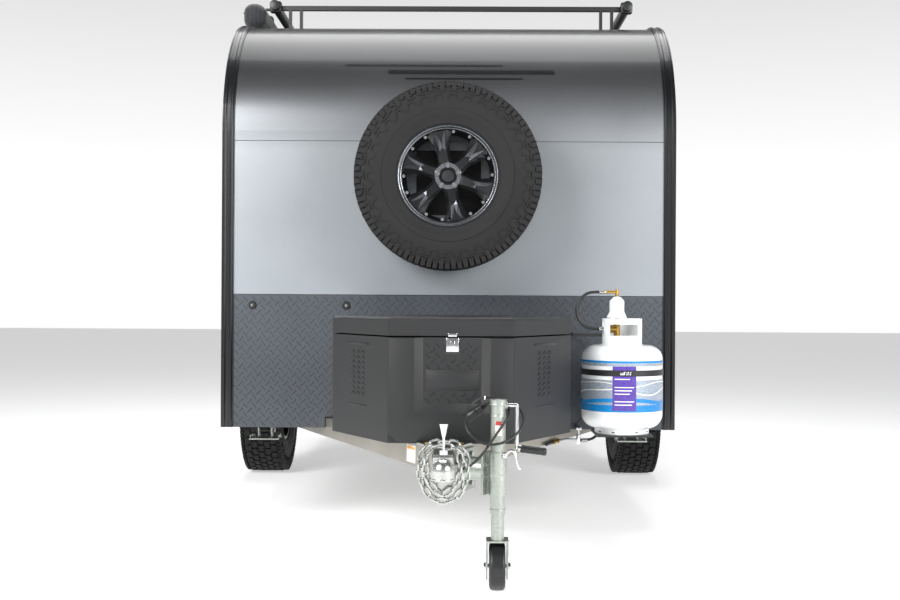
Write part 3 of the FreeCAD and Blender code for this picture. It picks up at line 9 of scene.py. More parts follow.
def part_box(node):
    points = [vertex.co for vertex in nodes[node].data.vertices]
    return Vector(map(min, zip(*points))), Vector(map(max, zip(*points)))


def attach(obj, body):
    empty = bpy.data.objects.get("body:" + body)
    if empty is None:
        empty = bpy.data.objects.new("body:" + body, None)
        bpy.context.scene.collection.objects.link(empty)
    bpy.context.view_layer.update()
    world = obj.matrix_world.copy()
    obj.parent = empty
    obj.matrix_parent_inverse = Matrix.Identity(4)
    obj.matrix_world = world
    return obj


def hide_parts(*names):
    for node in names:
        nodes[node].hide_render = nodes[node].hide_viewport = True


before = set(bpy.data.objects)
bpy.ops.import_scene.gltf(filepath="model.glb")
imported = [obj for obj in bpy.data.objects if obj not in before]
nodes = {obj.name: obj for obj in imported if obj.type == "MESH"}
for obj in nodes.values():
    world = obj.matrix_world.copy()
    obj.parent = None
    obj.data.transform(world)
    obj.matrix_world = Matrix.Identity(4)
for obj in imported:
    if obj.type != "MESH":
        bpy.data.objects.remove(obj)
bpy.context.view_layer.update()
print("frame loaded:", len(nodes), "nodes")

# Camera and cords

camera = {"place": (0.051, -5.685, 0.93), "lens": 46.8, "turn": 0.52, "roll": 0.33}
view = bpy.data.objects.new("camera", bpy.data.cameras.new("camera"))
bpy.context.collection.objects.link(view)
view.data.lens = camera["lens"]
view.matrix_world = (
    Matrix.Translation(camera["place"])
    @ Matrix.Rotation(math.radians(camera["turn"]), 4, "Z")
    @ Matrix.Rotation(math.radians(90), 4, "X")
    @ Matrix.Rotation(math.radians(camera["roll"]), 4, "Z")
)
bpy.context.scene.camera = view
bpy.context.scene.view_settings.view_transform = "Standard"


def linear(text):  # sRGB hex to linear colour
    parts = [int(text[i : i + 2], 16) / 255 for i in (1, 3, 5)]
    return tuple(c / 12.92 if c < 0.04045 else ((c + 0.055) / 1.055) ** 2.4 for c in parts) + (1.0,)


def addNode(tree, kind, settings=None, values=None, links=None):
    node = tree.nodes.new(kind)
    for name, value in (settings or {}).items():
        setattr(node, name, value)
    for name, value in (values or {}).items():
        node.inputs[name].default_value = value
    for name, source in (links or {}).items():
        tree.links.new(source, node.inputs[name])
    return node


def newMaterial(name):
    material = bpy.data.materials.new(name)
    material.use_nodes = True
    return material, material.node_tree, material.node_tree.nodes["Principled BSDF"]


def grained(
    name, light, dark, grain, rough=(0.4, 0.5), metal=0.0, bump=0.1, depth=0.0004, coat=0.0, stretch=(1, 1, 1)
):
    # a surface whose colour, gloss and relief vary with a grain of that many millimetres
    material, tree, shader = newMaterial(name)
    where = addNode(tree, "ShaderNodeTexCoord")
    mapped = addNode(tree, "ShaderNodeMapping", values={"Scale": stretch}, links={"Vector": where.outputs["Object"]})
    noise = addNode(
        tree, "ShaderNodeTexNoise", values={"Scale": 1000 / grain, "Detail": 4.0, "Roughness": 0.6},
        links={"Vector": mapped.outputs[0]},
    )
    cloud = addNode(
        tree, "ShaderNodeTexNoise", values={"Scale": 3.0, "Detail": 3.0}, links={"Vector": where.outputs["Object"]}
    )
    blend = addNode(tree, "ShaderNodeMath", {"operation": "MULTIPLY_ADD"}, {1: 0.5}, {0: cloud.outputs[0]})
    tree.links.new(
        addNode(tree, "ShaderNodeMath", {"operation": "MULTIPLY"}, {1: 0.5}, {0: noise.outputs[0]}).outputs[0],
        blend.inputs[2],
    )
    ramp = addNode(tree, "ShaderNodeValToRGB", links={"Fac": blend.outputs[0]})
    ramp.color_ramp.elements[0].color = linear(dark)
    ramp.color_ramp.elements[0].position = 0.3
    ramp.color_ramp.elements[1].color = linear(light)
    ramp.color_ramp.elements[1].position = 0.7
    tree.links.new(ramp.outputs[0], shader.inputs["Base Color"])
    gloss = addNode(
        tree, "ShaderNodeMapRange", values={"From Min": 0.3, "From Max": 0.7, "To Min": rough[0], "To Max": rough[1]},
        links={"Value": noise.outputs[0]},
    )
    tree.links.new(gloss.outputs[0], shader.inputs["Roughness"])
    relief = addNode(
        tree, "ShaderNodeBump", values={"Strength": bump, "Distance": depth}, links={"Height": noise.outputs[0]}
    )
    tree.links.new(relief.outputs[0], shader.inputs["Normal"])
    shader.inputs["Metallic"].default_value = metal
    shader.inputs["Coat Weight"].default_value = coat
    shader.inputs["Coat Roughness"].default_value = 0.08
    return material


def sheetWithPaintedReflection():  # front skin: silver below, with a painted reflection that darkens it to near black over the curve
    material = grained("sheetPaintedReflection", "#aab0b6", "#9ca2a8", 1.2, (0.26, 0.34), 0.6, 0.04, 0.0002, 0.2)
    tree = material.node_tree
    shader = tree.nodes["Principled BSDF"]
    where = addNode(tree, "ShaderNodeTexCoord")
    height = addNode(tree, "ShaderNodeSeparateXYZ", links={0: where.outputs["Object"]})
    drift = addNode(tree, "ShaderNodeTexNoise", values={"Scale": 2.0}, links={"Vector": where.outputs["Object"]})
    level = addNode(
        tree, "ShaderNodeMath", {"operation": "MULTIPLY_ADD"}, {1: 0.06},
        {0: drift.outputs[0], 2: height.outputs["Z"]},
    )
    share = addNode(
        tree, "ShaderNodeMapRange", values={"From Min": 0.95, "From Max": 2.13}, links={"Value": level.outputs[0]}
    )
    ramp = addNode(tree, "ShaderNodeValToRGB", links={"Fac": share.outputs[0]})
    # painted reflection: colour stops that darken the skin with height, to near black over the curve
    paintedReflectionShades = (
        (0.0, "#ffffff"), (0.52, "#f4f2f0"), (0.64, "#c4c1bf"), (0.75, "#858280"), (0.86, "#4a4847"),
        (0.97, "#2a2928"),
    )
    ramp.color_ramp.elements.remove(ramp.color_ramp.elements[1])
    for place, colour in paintedReflectionShades:
        step = ramp.color_ramp.elements[0] if place == 0 else ramp.color_ramp.elements.new(place)
        step.position, step.color = place, linear(colour)
    base = shader.inputs["Base Color"].links[0].from_socket
    mixed = addNode(tree, "ShaderNodeMix", {"data_type": "RGBA", "blend_type": "MULTIPLY"}, {0: 1.0})
    tree.links.new(base, mixed.inputs[6])
    tree.links.new(ramp.outputs[0], mixed.inputs[7])
    tree.links.new(mixed.outputs[2], shader.inputs["Base Color"])
    return material


def tyreRubber():  # vulcanised rubber: matte charcoal, dusty in places
    material = grained("vulcanisedRubber", "#1c1c1d", "#101011", 6.0, (0.6, 0.78), 0.0, 0.25, 0.0004)
    material.node_tree.nodes["Principled BSDF"].inputs["Specular IOR Level"].default_value = 0.3
    return material


def smokedGlass():  # tinted safety glass
    material, tree, shader = newMaterial("tintedGlass")
    where = addNode(tree, "ShaderNodeTexCoord")
    noise = addNode(tree, "ShaderNodeTexNoise", values={"Scale": 6.0}, links={"Vector": where.outputs["Object"]})
    dust = addNode(
        tree, "ShaderNodeMapRange", values={"To Min": 0.02, "To Max": 0.07}, links={"Value": noise.outputs[0]}
    )
    tree.links.new(dust.outputs[0], shader.inputs["Roughness"])
    shader.inputs["Base Color"].default_value = linear("#1a1f22")
    shader.inputs["Transmission Weight"].default_value = 0.55
    shader.inputs["IOR"].default_value = 1.5
    return material


def wovenFabric(name, light, dark, thread):  # plain weave: two sets of threads, one over the other
    material, tree, shader = newMaterial(name)
    where = addNode(tree, "ShaderNodeTexCoord")
    waves = []
    for axis in ("X", "Y"):
        wave = addNode(
            tree, "ShaderNodeTexWave", {"bands_direction": axis},
            {"Scale": 1000 / thread / 20, "Distortion": 1.2, "Detail": 2.0, "Detail Scale": 2.0},
            {"Vector": where.outputs["Object"]},
        )
        waves.append(wave)
    cloth = addNode(
        tree, "ShaderNodeMath", {"operation": "MAXIMUM"},
        links={0: waves[0].outputs["Fac"], 1: waves[1].outputs["Fac"]},
    )
    fleck = addNode(
        tree, "ShaderNodeTexNoise", values={"Scale": 60.0, "Detail": 4.0}, links={"Vector": where.outputs["Object"]}
    )
    mixed = addNode(
        tree, "ShaderNodeMath", {"operation": "MULTIPLY"}, links={0: cloth.outputs[0], 1: fleck.outputs[0]}
    )
    ramp = addNode(tree, "ShaderNodeValToRGB", links={"Fac": mixed.outputs[0]})
    ramp.color_ramp.elements[0].color = linear(dark)
    ramp.color_ramp.elements[1].color = linear(light)
    ramp.color_ramp.elements[1].position = 0.7
    tree.links.new(ramp.outputs[0], shader.inputs["Base Color"])
    relief = addNode(
        tree, "ShaderNodeBump", values={"Strength": 0.5, "Distance": 0.0008}, links={"Height": cloth.outputs[0]}
    )
    tree.links.new(relief.outputs[0], shader.inputs["Normal"])
    shader.inputs["Roughness"].default_value = 0.85
    shader.inputs["Sheen Weight"].default_value = 0.25
    return material


# name, lighter and darker colour, grain in mm, roughness range, metallic, relief, its depth in m, coat, stretch
recipes = {
    # prepainted aluminium skin: a fine metallic flake under clear lacquer
    "sheet": ("prepaintedAluminium", "#8f959b", "#848a91", 1.2, (0.26, 0.32), 0.75, 0.04, 0.0002, 0.35),
    # pressed chequer plate, powder coated slate: satin, with a slight orange peel
    "plate": ("powderCoatedPlate", "#4b5056", "#3e4247", 2.0, (0.40, 0.50), 0.35, 0.12, 0.0003, 0.1),
    # anodised extrusion: near black, with long fine die lines
    "trim": ("anodisedExtrusion", "#1b1d20", "#101113", 1.5, (0.26, 0.36), 0.4, 0.1, 0.0002, 0.3),
    # powder coated steel: satin black with orange peel
    "steel": ("powderCoatedSteel", "#1d1e20", "#131415", 2.5, (0.38, 0.5), 0.1, 0.15, 0.0003, 0.1),
    # raw extruded aluminium: dull, drawn along its length and a little stained
    "mill": ("millAluminium", "#b5b1a8", "#8f8b82", 4.0, (0.34, 0.5), 0.85, 0.1, 0.0002, 0.0, (1, 0.12, 1)),
    # hot-dip zinc: grey spangles of several millimetres with a faint green cast
    "galvanised": ("galvanisedSteel", "#b9beb6", "#868d86", 7.0, (0.3, 0.5), 0.85, 0.12, 0.0003),
    # electroplated zinc with a yellowish passivation
    "zinc": ("zincPlatedSteel", "#c9ccca", "#9a9b93", 3.0, (0.2, 0.34), 0.95, 0.06, 0.0002),
    # polished and plated steel
    "bright": ("chromedSteel", "#dcdedf", "#b7babd", 5.0, (0.12, 0.22), 0.98, 0.03, 0.0001),
    # roto-moulded polyethylene: deep black with a leathery mould texture
    "moulded": ("mouldedPolyethylene", "#1b1c1e", "#0f1011", 2.2, (0.42, 0.56), 0.0, 0.5, 0.0006),
    # injection moulded nylon, satin
    "smooth": ("mouldedNylon", "#1c1d1f", "#111213", 1.5, (0.34, 0.46), 0.0, 0.2, 0.0002),
    # extruded PVC jacket, slightly glossy
    "cord": ("extrudedJacket", "#1a1a1b", "#0e0e0f", 2.0, (0.34, 0.48), 0.0, 0.15, 0.0002),
    # lacquered lip, dark satin
    "satin": ("satinAlloy", "#55585c", "#3b3d40", 2.0, (0.24, 0.34), 0.85, 0.06, 0.0002, 0.2),
    # satin black lacquer on cast alloy
    "wheel": ("lacqueredAlloy", "#1b1c1f", "#0f1012", 1.5, (0.26, 0.36), 0.4, 0.06, 0.0002, 0.3),
    # turned aluminium lip under lacquer
    "turned": ("turnedAlloy", "#a9adb1", "#7c8085", 2.0, (0.2, 0.3), 0.95, 0.08, 0.0002),
    # sprayed enamel, glossy
    "enamel": ("sprayedEnamel", "#eef0f0", "#dfe3e5", 4.0, (0.18, 0.26), 0.0, 0.05, 0.0003, 0.4),
    # gloss ink on a plastic sleeve
    "blue": ("printedBlue", "#1987c9", "#0f6fb0", 3.0, (0.2, 0.3), 0.0, 0.03, 0.0001, 0.3),
    # gloss label
    "violet": ("printedViolet", "#5a3fa8", "#43307f", 3.0, (0.22, 0.32), 0.0, 0.03, 0.0001, 0.3),
    # gloss ink with a metallic pigment
    "silver": ("printedSilver", "#aab4c0", "#8d98a6", 3.0, (0.22, 0.32), 0.3, 0.03, 0.0001, 0.3),
    # turned brass
    "brass": ("turnedBrass", "#c9a35a", "#9c7833", 3.0, (0.22, 0.36), 0.95, 0.06, 0.0002),
    # printed vinyl
    "yellow": ("printedVinyl", "#e9a12c", "#d98f1d", 3.0, (0.3, 0.4), 0.0, 0.03, 0.0001),
    # coated label paper, matt
    "paper": ("printedPaper", "#e9e7e2", "#d9d6cf", 3.0, (0.4, 0.5), 0.0, 0.03, 0.0001),
    # moulded acrylic lens: clear red with fine prisms
    "red": ("acrylicLens", "#b3211c", "#8a1512", 3.0, (0.1, 0.18), 0.0, 0.3, 0.0006, 0.6),
    # moulded acrylic lens: amber with fine prisms
    "amber": ("amberAcrylic", "#d97a12", "#b5600a", 3.0, (0.1, 0.18), 0.0, 0.3, 0.0006, 0.6),
    # moulded polypropylene roof vent
    "white": ("mouldedPolypropylene", "#dededa", "#cbcac4", 2.0, (0.4, 0.5), 0.0, 0.12, 0.0003),
    # oiled birch plywood: long pale grain
    "ply": ("birchPlywood", "#c9a878", "#a9845a", 5.0, (0.4, 0.55), 0.0, 0.15, 0.0003, 0.05, (0.08, 1, 1)),
    # resin-faced plywood: dark brown, smooth
    "base": ("resinFacedPlywood", "#2a2521", "#1b1714", 5.0, (0.4, 0.5), 0.0, 0.08, 0.0002),
}
finish = {key: grained(*recipe) for key, recipe in recipes.items()}
finish |= {
    # front skin with the painted reflection
    "paintedReflectionFade": sheetWithPaintedReflection(),
    "tyre": tyreRubber(),
    "glass": smokedGlass(),
    "canvas": wovenFabric("wovenCanvas", "#2c2f33", "#17191c", 3.0),
    "ticking": wovenFabric("cottonTicking", "#a7a49a", "#86837a", 4.0),
}
print("materials made:", len(finish))

cords = {
    "wiring": {
        "route": [
            (0.046, -2.004, 0.392), (0.072, -2.003, 0.401), (0.100, -2.001, 0.420), (0.124, -1.998, 0.446),
            (0.145, -1.993, 0.476), (0.167, -1.987, 0.507), (0.189, -1.978, 0.537), (0.206, -1.962, 0.562),
            (0.210, -1.938, 0.582), (0.199, -1.916, 0.598), (0.175, -1.905, 0.610), (0.146, -1.903, 0.617),
            (0.116, -1.908, 0.614), (0.091, -1.922, 0.600), (0.074, -1.944, 0.578), (0.066, -1.970, 0.550),
            (0.073, -1.993, 0.520), (0.093, -2.006, 0.496), (0.120, -2.012, 0.481), (0.150, -2.012, 0.476),
            (0.182, -2.007, 0.480), (0.212, -1.997, 0.493), (0.238, -1.981, 0.513), (0.253, -1.958, 0.538),
            (0.255, -1.931, 0.563), (0.242, -1.907, 0.584), (0.218, -1.892, 0.601), (0.189, -1.885, 0.609),
            (0.163, -1.883, 0.605), (0.140, -1.883, 0.592),
        ],
        "diameter": 0.0085, "length": 0.955, "end": "plug",
    },
    "pigtail": {
        "route": [
            (0.599, -1.255, 0.964), (0.555, -1.255, 0.964), (0.5297, -1.255, 0.9587), (0.5083, -1.255, 0.9435),
            (0.494, -1.255, 0.9208), (0.489, -1.255, 0.894), (0.494, -1.255, 0.8672), (0.5083, -1.255, 0.8445),
            (0.5297, -1.255, 0.8293), (0.555, -1.255, 0.824), (0.6118, -1.255, 0.824),
        ],
        "diameter": 0.011, "length": 0.311, "end": "object",
    },
    "supply": {
        "route": [
            (0.5292, -1.056, 0.379), (0.562, -1.056, 0.379), (0.5914, -1.056, 0.3956), (0.608, -1.056, 0.4244),
            (0.608, -1.056, 0.469), (0.608, -1.056, 0.514), (0.608, -1.056, 0.5746), (0.608, -1.0394, 0.6034),
            (0.608, -1.0106, 0.62), (0.608, -0.9772, 0.62),
        ],
        "diameter": 0.011, "length": 0.346, "end": "object",
    },
}


def cordCurve(name, facts):
    line = bpy.data.curves.new(name, "CURVE")
    line.dimensions = "3D"
    line.bevel_depth = facts["diameter"] / 2
    line.bevel_resolution = 4
    line.resolution_u = 8
    line.use_fill_caps = True
    spline = line.splines.new("NURBS")
    spline.points.add(len(facts["route"]) - 1)
    for point, place in zip(spline.points, facts["route"]):
        point.co = (*place, 1.0)
    spline.order_u = 3
    spline.use_endpoint_u = True
    line.materials.append(finish["cord"])
    piece = bpy.data.objects.new(name, line)
    bpy.context.collection.objects.link(piece)
    return piece


def declareCord(name, node):
    facts = cords[name]
    piece = cordCurve(name + "Hose", facts)
    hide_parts(node)
    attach(piece, "root")


declareCord("wiring", "wiring_cord")
declareCord("pigtail", "gas_pigtail")
declareCord("supply", "supply_hose")
print("cords laid")

# Ways of making pieces


def addPiece(name, mesh, material, body="root", smooth=True, replaces=()):
    piece = bpy.data.objects.new(name, mesh)
    bpy.context.collection.objects.link(piece)
    if not mesh.materials:
        mesh.materials.append(finish[material])
    if smooth:
        mesh.shade_smooth()
        mesh.set_sharp_from_angle(angle=math.radians(35))
    if replaces:
        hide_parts(*replaces)
    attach(piece, body)
    return piece


def meshOf(build, where=None):  # a mesh from a function that fills a bmesh
    shape = bmesh.new()
    build(shape)
    if where is not None:
        bmesh.ops.transform(shape, matrix=where, verts=shape.verts)
    bmesh.ops.recalc_face_normals(shape, faces=shape.faces)
    mesh = bpy.data.meshes.new("shape")
    shape.to_mesh(mesh)
    shape.free()
    return mesh


def boxInto(shape, low, high, soft=0.0, turn=None, steps=2):
    middle = [(a + b) / 2 for a, b in zip(low, high)]
    size = [b - a for a, b in zip(low, high)]
    place = Matrix.Translation(middle) @ (turn or Matrix()) @ Matrix.Diagonal((*size, 1))
    made = bmesh.ops.create_cube(shape, size=1, matrix=place)
    if soft:
        edges = list({e for v in made["verts"] for e in v.link_edges})
        bmesh.ops.bevel(
            shape, geom=edges, offset=soft, segments=steps, affect="EDGES", profile=0.5, clamp_overlap=True
        )


def discInto(shape, middle, axis, radius, height, sides=24, top=None, soft=0.0):
    spin = Vector((0, 0, 1)).rotation_difference(Vector(axis)).to_matrix().to_4x4()
    made = bmesh.ops.create_cone(
        shape, cap_ends=True, segments=sides, radius1=radius, radius2=radius if top is None else top,
        depth=height, matrix=Matrix.Translation(middle) @ spin,
    )
    if soft:
        rims = [
            e for e in {e for v in made["verts"] for e in v.link_edges} if any(len(f.verts) > 4 for f in e.link_faces)
        ]
        bmesh.ops.bevel(shape, geom=rims, offset=soft, segments=2, affect="EDGES", profile=0.5, clamp_overlap=True)


def latheInto(shape, profile, sides=72, closed=True):  # turns (along X, radius) about X
    rings = []
    for along, radius in profile:
        ring = [
            shape.verts.new((along, radius * math.cos(a), radius * math.sin(a)))
            for a in (2 * math.pi * k / sides for k in range(sides))
        ]
        rings.append(ring)
    pairs = list(zip(rings, rings[1:] + ([rings[0]] if closed else [])))
    if not closed:
        pairs = pairs[: len(rings) - 1]
    for first, second in pairs:
        for k in range(sides):
            n = (k + 1) % sides
            shape.faces.new((first[k], second[k], second[n], first[n]))
    if not closed:
        shape.faces.new(rings[0])
        shape.faces.new(list(reversed(rings[-1])))


def tubeMesh(points, radius, closed=False, steps=3, smoothLine=True):
    line = bpy.data.curves.new("tube", "CURVE")
    line.dimensions = "3D"
    line.bevel_depth = radius
    line.bevel_resolution = steps
    line.resolution_u = 6
    line.use_fill_caps = not closed
    spline = line.splines.new("NURBS" if smoothLine else "POLY")
    spline.points.add(len(points) - 1)
    for point, place in zip(spline.points, points):
        point.co = (*place, 1.0)
    if smoothLine:
        spline.order_u = 3
        spline.use_endpoint_u = not closed
    spline.use_cyclic_u = closed
    holder = bpy.data.objects.new("tube", line)
    bpy.context.collection.objects.link(holder)
    mesh = bpy.data.meshes.new_from_object(holder.evaluated_get(bpy.context.evaluated_depsgraph_get()))
    bpy.data.objects.remove(holder)
    mesh.materials.clear()
    return mesh


def placingTree():  # a copy of one piece on every point, turned by the point's own angles
    tree = bpy.data.node_groups.new("placePieces", "GeometryNodeTree")
    tree.is_modifier = True
    for name, kind in (("Points", "Geometry"), ("Piece", "Object"), ("Size", "Float"), ("Finish", "Material")):
        tree.interface.new_socket(name, in_out="INPUT", socket_type="NodeSocket" + kind)
    tree.interface.new_socket("Geometry", in_out="OUTPUT", socket_type="NodeSocketGeometry")
    source = addNode(tree, "NodeGroupInput")
    piece = addNode(tree, "GeometryNodeObjectInfo", links={"Object": source.outputs["Piece"]})
    turn = addNode(tree, "GeometryNodeInputNamedAttribute", {"data_type": "FLOAT_VECTOR"}, {"Name": "turn"})
    spin = addNode(tree, "FunctionNodeEulerToRotation", links={"Euler": turn.outputs["Attribute"]})
    copies = addNode(
        tree, "GeometryNodeInstanceOnPoints",
        links={
            "Points": source.outputs["Points"], "Instance": piece.outputs["Geometry"], "Rotation": spin.outputs[0],
            "Scale": source.outputs["Size"],
        },
    )
    real = addNode(tree, "GeometryNodeRealizeInstances", links={"Geometry": copies.outputs[0]})
    coat = addNode(
        tree, "GeometryNodeSetMaterial", links={"Geometry": real.outputs[0], "Material": source.outputs["Finish"]}
    )
    addNode(tree, "NodeGroupOutput", links={"Geometry": coat.outputs[0]})
    return tree


placePieces = placingTree()


def placed(pieceMesh, spots, material, size=1.0):  # spots are (place, (turnX, turnY, turnZ))
    cloud = bpy.data.meshes.new("spots")
    cloud.from_pydata([s[0] for s in spots], [], [])
    turns = cloud.attributes.new("turn", "FLOAT_VECTOR", "POINT")
    for k, spot in enumerate(spots):
        turns.data[k].vector = spot[1]
    holder = bpy.data.objects.new("spots", cloud)
    sample = bpy.data.objects.new("sample", pieceMesh)
    for thing in (holder, sample):
        bpy.context.collection.objects.link(thing)
    modifier = holder.modifiers.new("place", "NODES")
    modifier.node_group = placePieces
    ids = {item.name: item.identifier for item in placePieces.interface.items_tree if item.in_out == "INPUT"}
    modifier[ids["Piece"]] = sample
    modifier[ids["Size"]] = size
    modifier[ids["Finish"]] = finish[material]
    bpy.context.view_layer.update()
    mesh = bpy.data.meshes.new_from_object(holder.evaluated_get(bpy.context.evaluated_depsgraph_get()))
    bpy.data.objects.remove(holder)
    bpy.data.objects.remove(sample)
    if not mesh.materials:
        mesh.materials.append(finish[material])
    return mesh


def hexBolt(radius, height):  # a hexagon head on a washer, standing along +Z
    def build(shape):
        discInto(shape, (0, 0, 0.0008), (0, 0, 1), radius * 1.45, 0.0016, 20)
        discInto(shape, (0, 0, 0.0016 + height / 2), (0, 0, 1), radius, height, 6, radius * 0.92)

    return meshOf(build)


def facing(direction):  # the Euler angles that turn +Z to a direction
    return tuple(Vector((0, 0, 1)).rotation_difference(Vector(direction)).to_euler())


# Places taken from the frame

wallLow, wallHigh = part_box("side_walls")
frontY, rearY = wallLow[1], wallHigh[1]
sideX = wallHigh[0]
skirt = wallLow[2]
roofZ = wallHigh[2]
nose = {"front": 0.52, "rear": 0.2}


def noseY(height, proud=0.0):  # the front skin's place at a height
    centre = roofZ - nose["front"]
    if height <= centre:
        return frontY - proud
    reach = nose["front"] + proud
    rise = min(height - centre, reach)
    return frontY + nose["front"] - math.sqrt(reach**2 - rise**2)


def cabinPath(inset, steps=14):  # the cabin's side outline from the front skirt round to the rear skirt
    line = [(frontY + inset, skirt)]
    for key, y, way in (("front", frontY, 1), ("rear", rearY, -1)):
        radius = nose[key] - inset
        cy, cz = y + way * nose[key], roofZ - nose[key]
        arc = [math.pi / 2 * k / steps for k in range(steps + 1)]
        points = [(cy - way * radius * math.cos(a), cz + radius * math.sin(a)) for a in arc]
        line += points if key == "front" else list(reversed(points))
    line.append((rearY - inset, skirt))
    return line


# Coats for the pieces that keep their shape

coats = {
    # the front wall and roof carry the painted reflection
    "paintedReflectionFade": ["front_wall", "roof_shell"],
    "sheet": ["side_walls", "door_left", "door_right", "rear_hatch"],
    "plate": ["front_lower_panel", "rear_lower_panel", "fenders"],
    "trim": ["edge_trims"],
    "steel": ["wheel_wells", "rear_bumper", "torsion_axle", "spare_carrier", "cylinder_carrier", "roof_rack"]
    + [f"stabiliser_leg_{end}_{side}" for end in ("front", "rear") for side in ("left", "right")],
    "mill": ["chassis_rails", "cross_members"],
    "galvanised": ["jack_bracket", "caster_fork", "jack_leg", "jack_tube"]
    + [f"stabiliser_foot_{end}_{side}" for end in ("front", "rear") for side in ("left", "right")],
    "zinc": ["coupler"],
    "bright": ["coupler_latch", "jack_crank", "gas_line"],
    "moulded": ["tongue_box", "box_lid"],
    "smooth": ["trailer_plug", "caster_wheel"],
    "enamel": ["gas_cylinder", "gas_regulator"],
    "brass": ["gas_fittings"],
    "glass": ["door_glass_left", "door_glass_right"],
    "red": ["marker_lights"],
    "white": ["roof_vent", "vent_lid"],
    "ply": ["galley_cabinet"],
    "base": ["floor_panel"],
}
for coat, names in coats.items():
    for name in names:
        mesh = nodes[name].data
        mesh.materials.clear()
        mesh.materials.append(finish[coat])

# Chequer plate: raised bars set alternately one way and the other

plate = {"pitch": 0.036, "bar": 0.027, "wide": 0.0065, "rise": 0.0022}


def barMesh():
    def build(shape):
        boxInto(
            shape, (-plate["bar"] / 2, -plate["wide"] / 2, -0.001),
            (plate["bar"] / 2, plate["wide"] / 2, plate["rise"]),
        )
        for vert in shape.verts:
            if vert.co.z > 0:
                vert.co.x *= 0.72
                vert.co.y *= 0.5

    return meshOf(build)


def plateBars(name, node, outward, keepOut=lambda x, z: False):
    low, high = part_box(node)
    y = low[1] if outward < 0 else high[1]
    step = plate["pitch"] / 2
    spots = []
    for i in range(int((high[0] - low[0]) / step)):
        for j in range(int((high[2] - low[2]) / step)):
            if (i + j) % 2:
                continue
            x, z = low[0] + (i + 0.8) * step, low[2] + (j + 0.8) * step
            if x > high[0] - 0.012 or z > high[2] - 0.012 or keepOut(x, z):
                continue
            lean = math.radians(45 if i % 2 else -45)
            turn = Matrix.Rotation(math.radians(90 if outward < 0 else -90), 3, "X") @ Matrix.Rotation(lean, 3, "Z")
            spots.append(((x, y, z), tuple(turn.to_euler())))
    addPiece(name, placed(barMesh(), spots, "plate"), "plate", smooth=False)


def barNotch(x, z):
    return z < skirt + 0.055 and 0.41 < abs(x) < 0.52


plateBars("frontPlateBars", "front_lower_panel", -1, barNotch)
plateBars("rearPlateBars", "rear_lower_panel", 1)
print("chequer plate raised")

# Edge extrusions: two rounded ridges with a groove between

ridge = {"radius": 0.0075, "places": (0.8765, 0.9035), "proud": -0.004}
for side in (-1, 1):
    for index, x in enumerate(ridge["places"]):
        line = [(side * x, y, z) for y, z in cabinPath(ridge["proud"])]
        mesh = tubeMesh(line, ridge["radius"], smoothLine=False)
        addPiece(f"edgeRidge{'LR'[side > 0]}{index}", mesh, "trim")
    line = [(side * (sideX + 0.007), y, z) for y, z in cabinPath(0.03)]
    addPiece(f"sideRidge{'LR'[side > 0]}", tubeMesh(line, 0.005, smoothLine=False), "trim")

# Tyres and wheels, made along +X and then turned to their places

tyre = {"radius": 0.3595, "groove": 0.0095, "bead": 0.192, "blocks": 46, "rows": 5, "teeth": 34}


def tyreProfile(width):
    half, tread = width / 2, tyre["radius"] - tyre["groove"]
    outer = [
        (half * 0.80, tyre["bead"]), (half * 0.86, tyre["bead"] + 0.008), (half * 0.86, tyre["bead"] + 0.016),
        (half * 0.95, tyre["bead"] + 0.035), (half * 0.985, tyre["bead"] + 0.055),
        (half * 0.985, tyre["bead"] + 0.060),
        (half * 0.965, tyre["bead"] + 0.061), (half * 0.975, tyre["bead"] + 0.085),
        (half * 0.955, tyre["bead"] + 0.112),
        (half * 0.93, tread - 0.022), (half * 0.88, tread - 0.006), (half * 0.78, tread), (0, tread + 0.001),
    ]
    return outer + [(-x, r) for x, r in reversed(outer[:-1])]


def blockInto(shape, x, wide, angle, long, low, high, skew=0.0):
    turn = Matrix.Rotation(angle, 4, "X")
    lean = Matrix.Rotation(skew, 4, "Z")
    middle = (low + high) / 2
    place = turn @ Matrix.Translation((x, 0, middle)) @ lean @ Matrix.Diagonal((wide, long, high - low, 1))
    made = bmesh.ops.create_cube(shape, size=1, matrix=place)
    for vert in made["verts"]:
        flat = vert.co.yz.length
        if flat > high:
            vert.co.y *= high / flat
            vert.co.z *= high / flat


def zigzag():  # (angle, radius) of the raised line round the sidewall
    points = []
    for k in range(tyre["teeth"]):
        for share, radius in ((0.0, 0.287), (0.30, 0.287), (0.50, 0.308), (0.80, 0.308)):
            points.append((2 * math.pi * (k + share) / tyre["teeth"], radius))
    return points


def ribInto(shape, x, line, half):  # a raised rib, square in section, along a closed line round the axle
    rings = []
    for angle, radius in line:
        corners = (
            (x - half, radius - half), (x + half, radius - half), (x + half, radius + half), (x - half, radius + half)
        )
        rings.append([shape.verts.new((a, -r * math.sin(angle), r * math.cos(angle))) for a, r in corners])
    for first, second in zip(rings, rings[1:] + rings[:1]):
        for i in range(4):
            j = (i + 1) % 4
            shape.faces.new((first[i], second[i], second[j], first[j]))


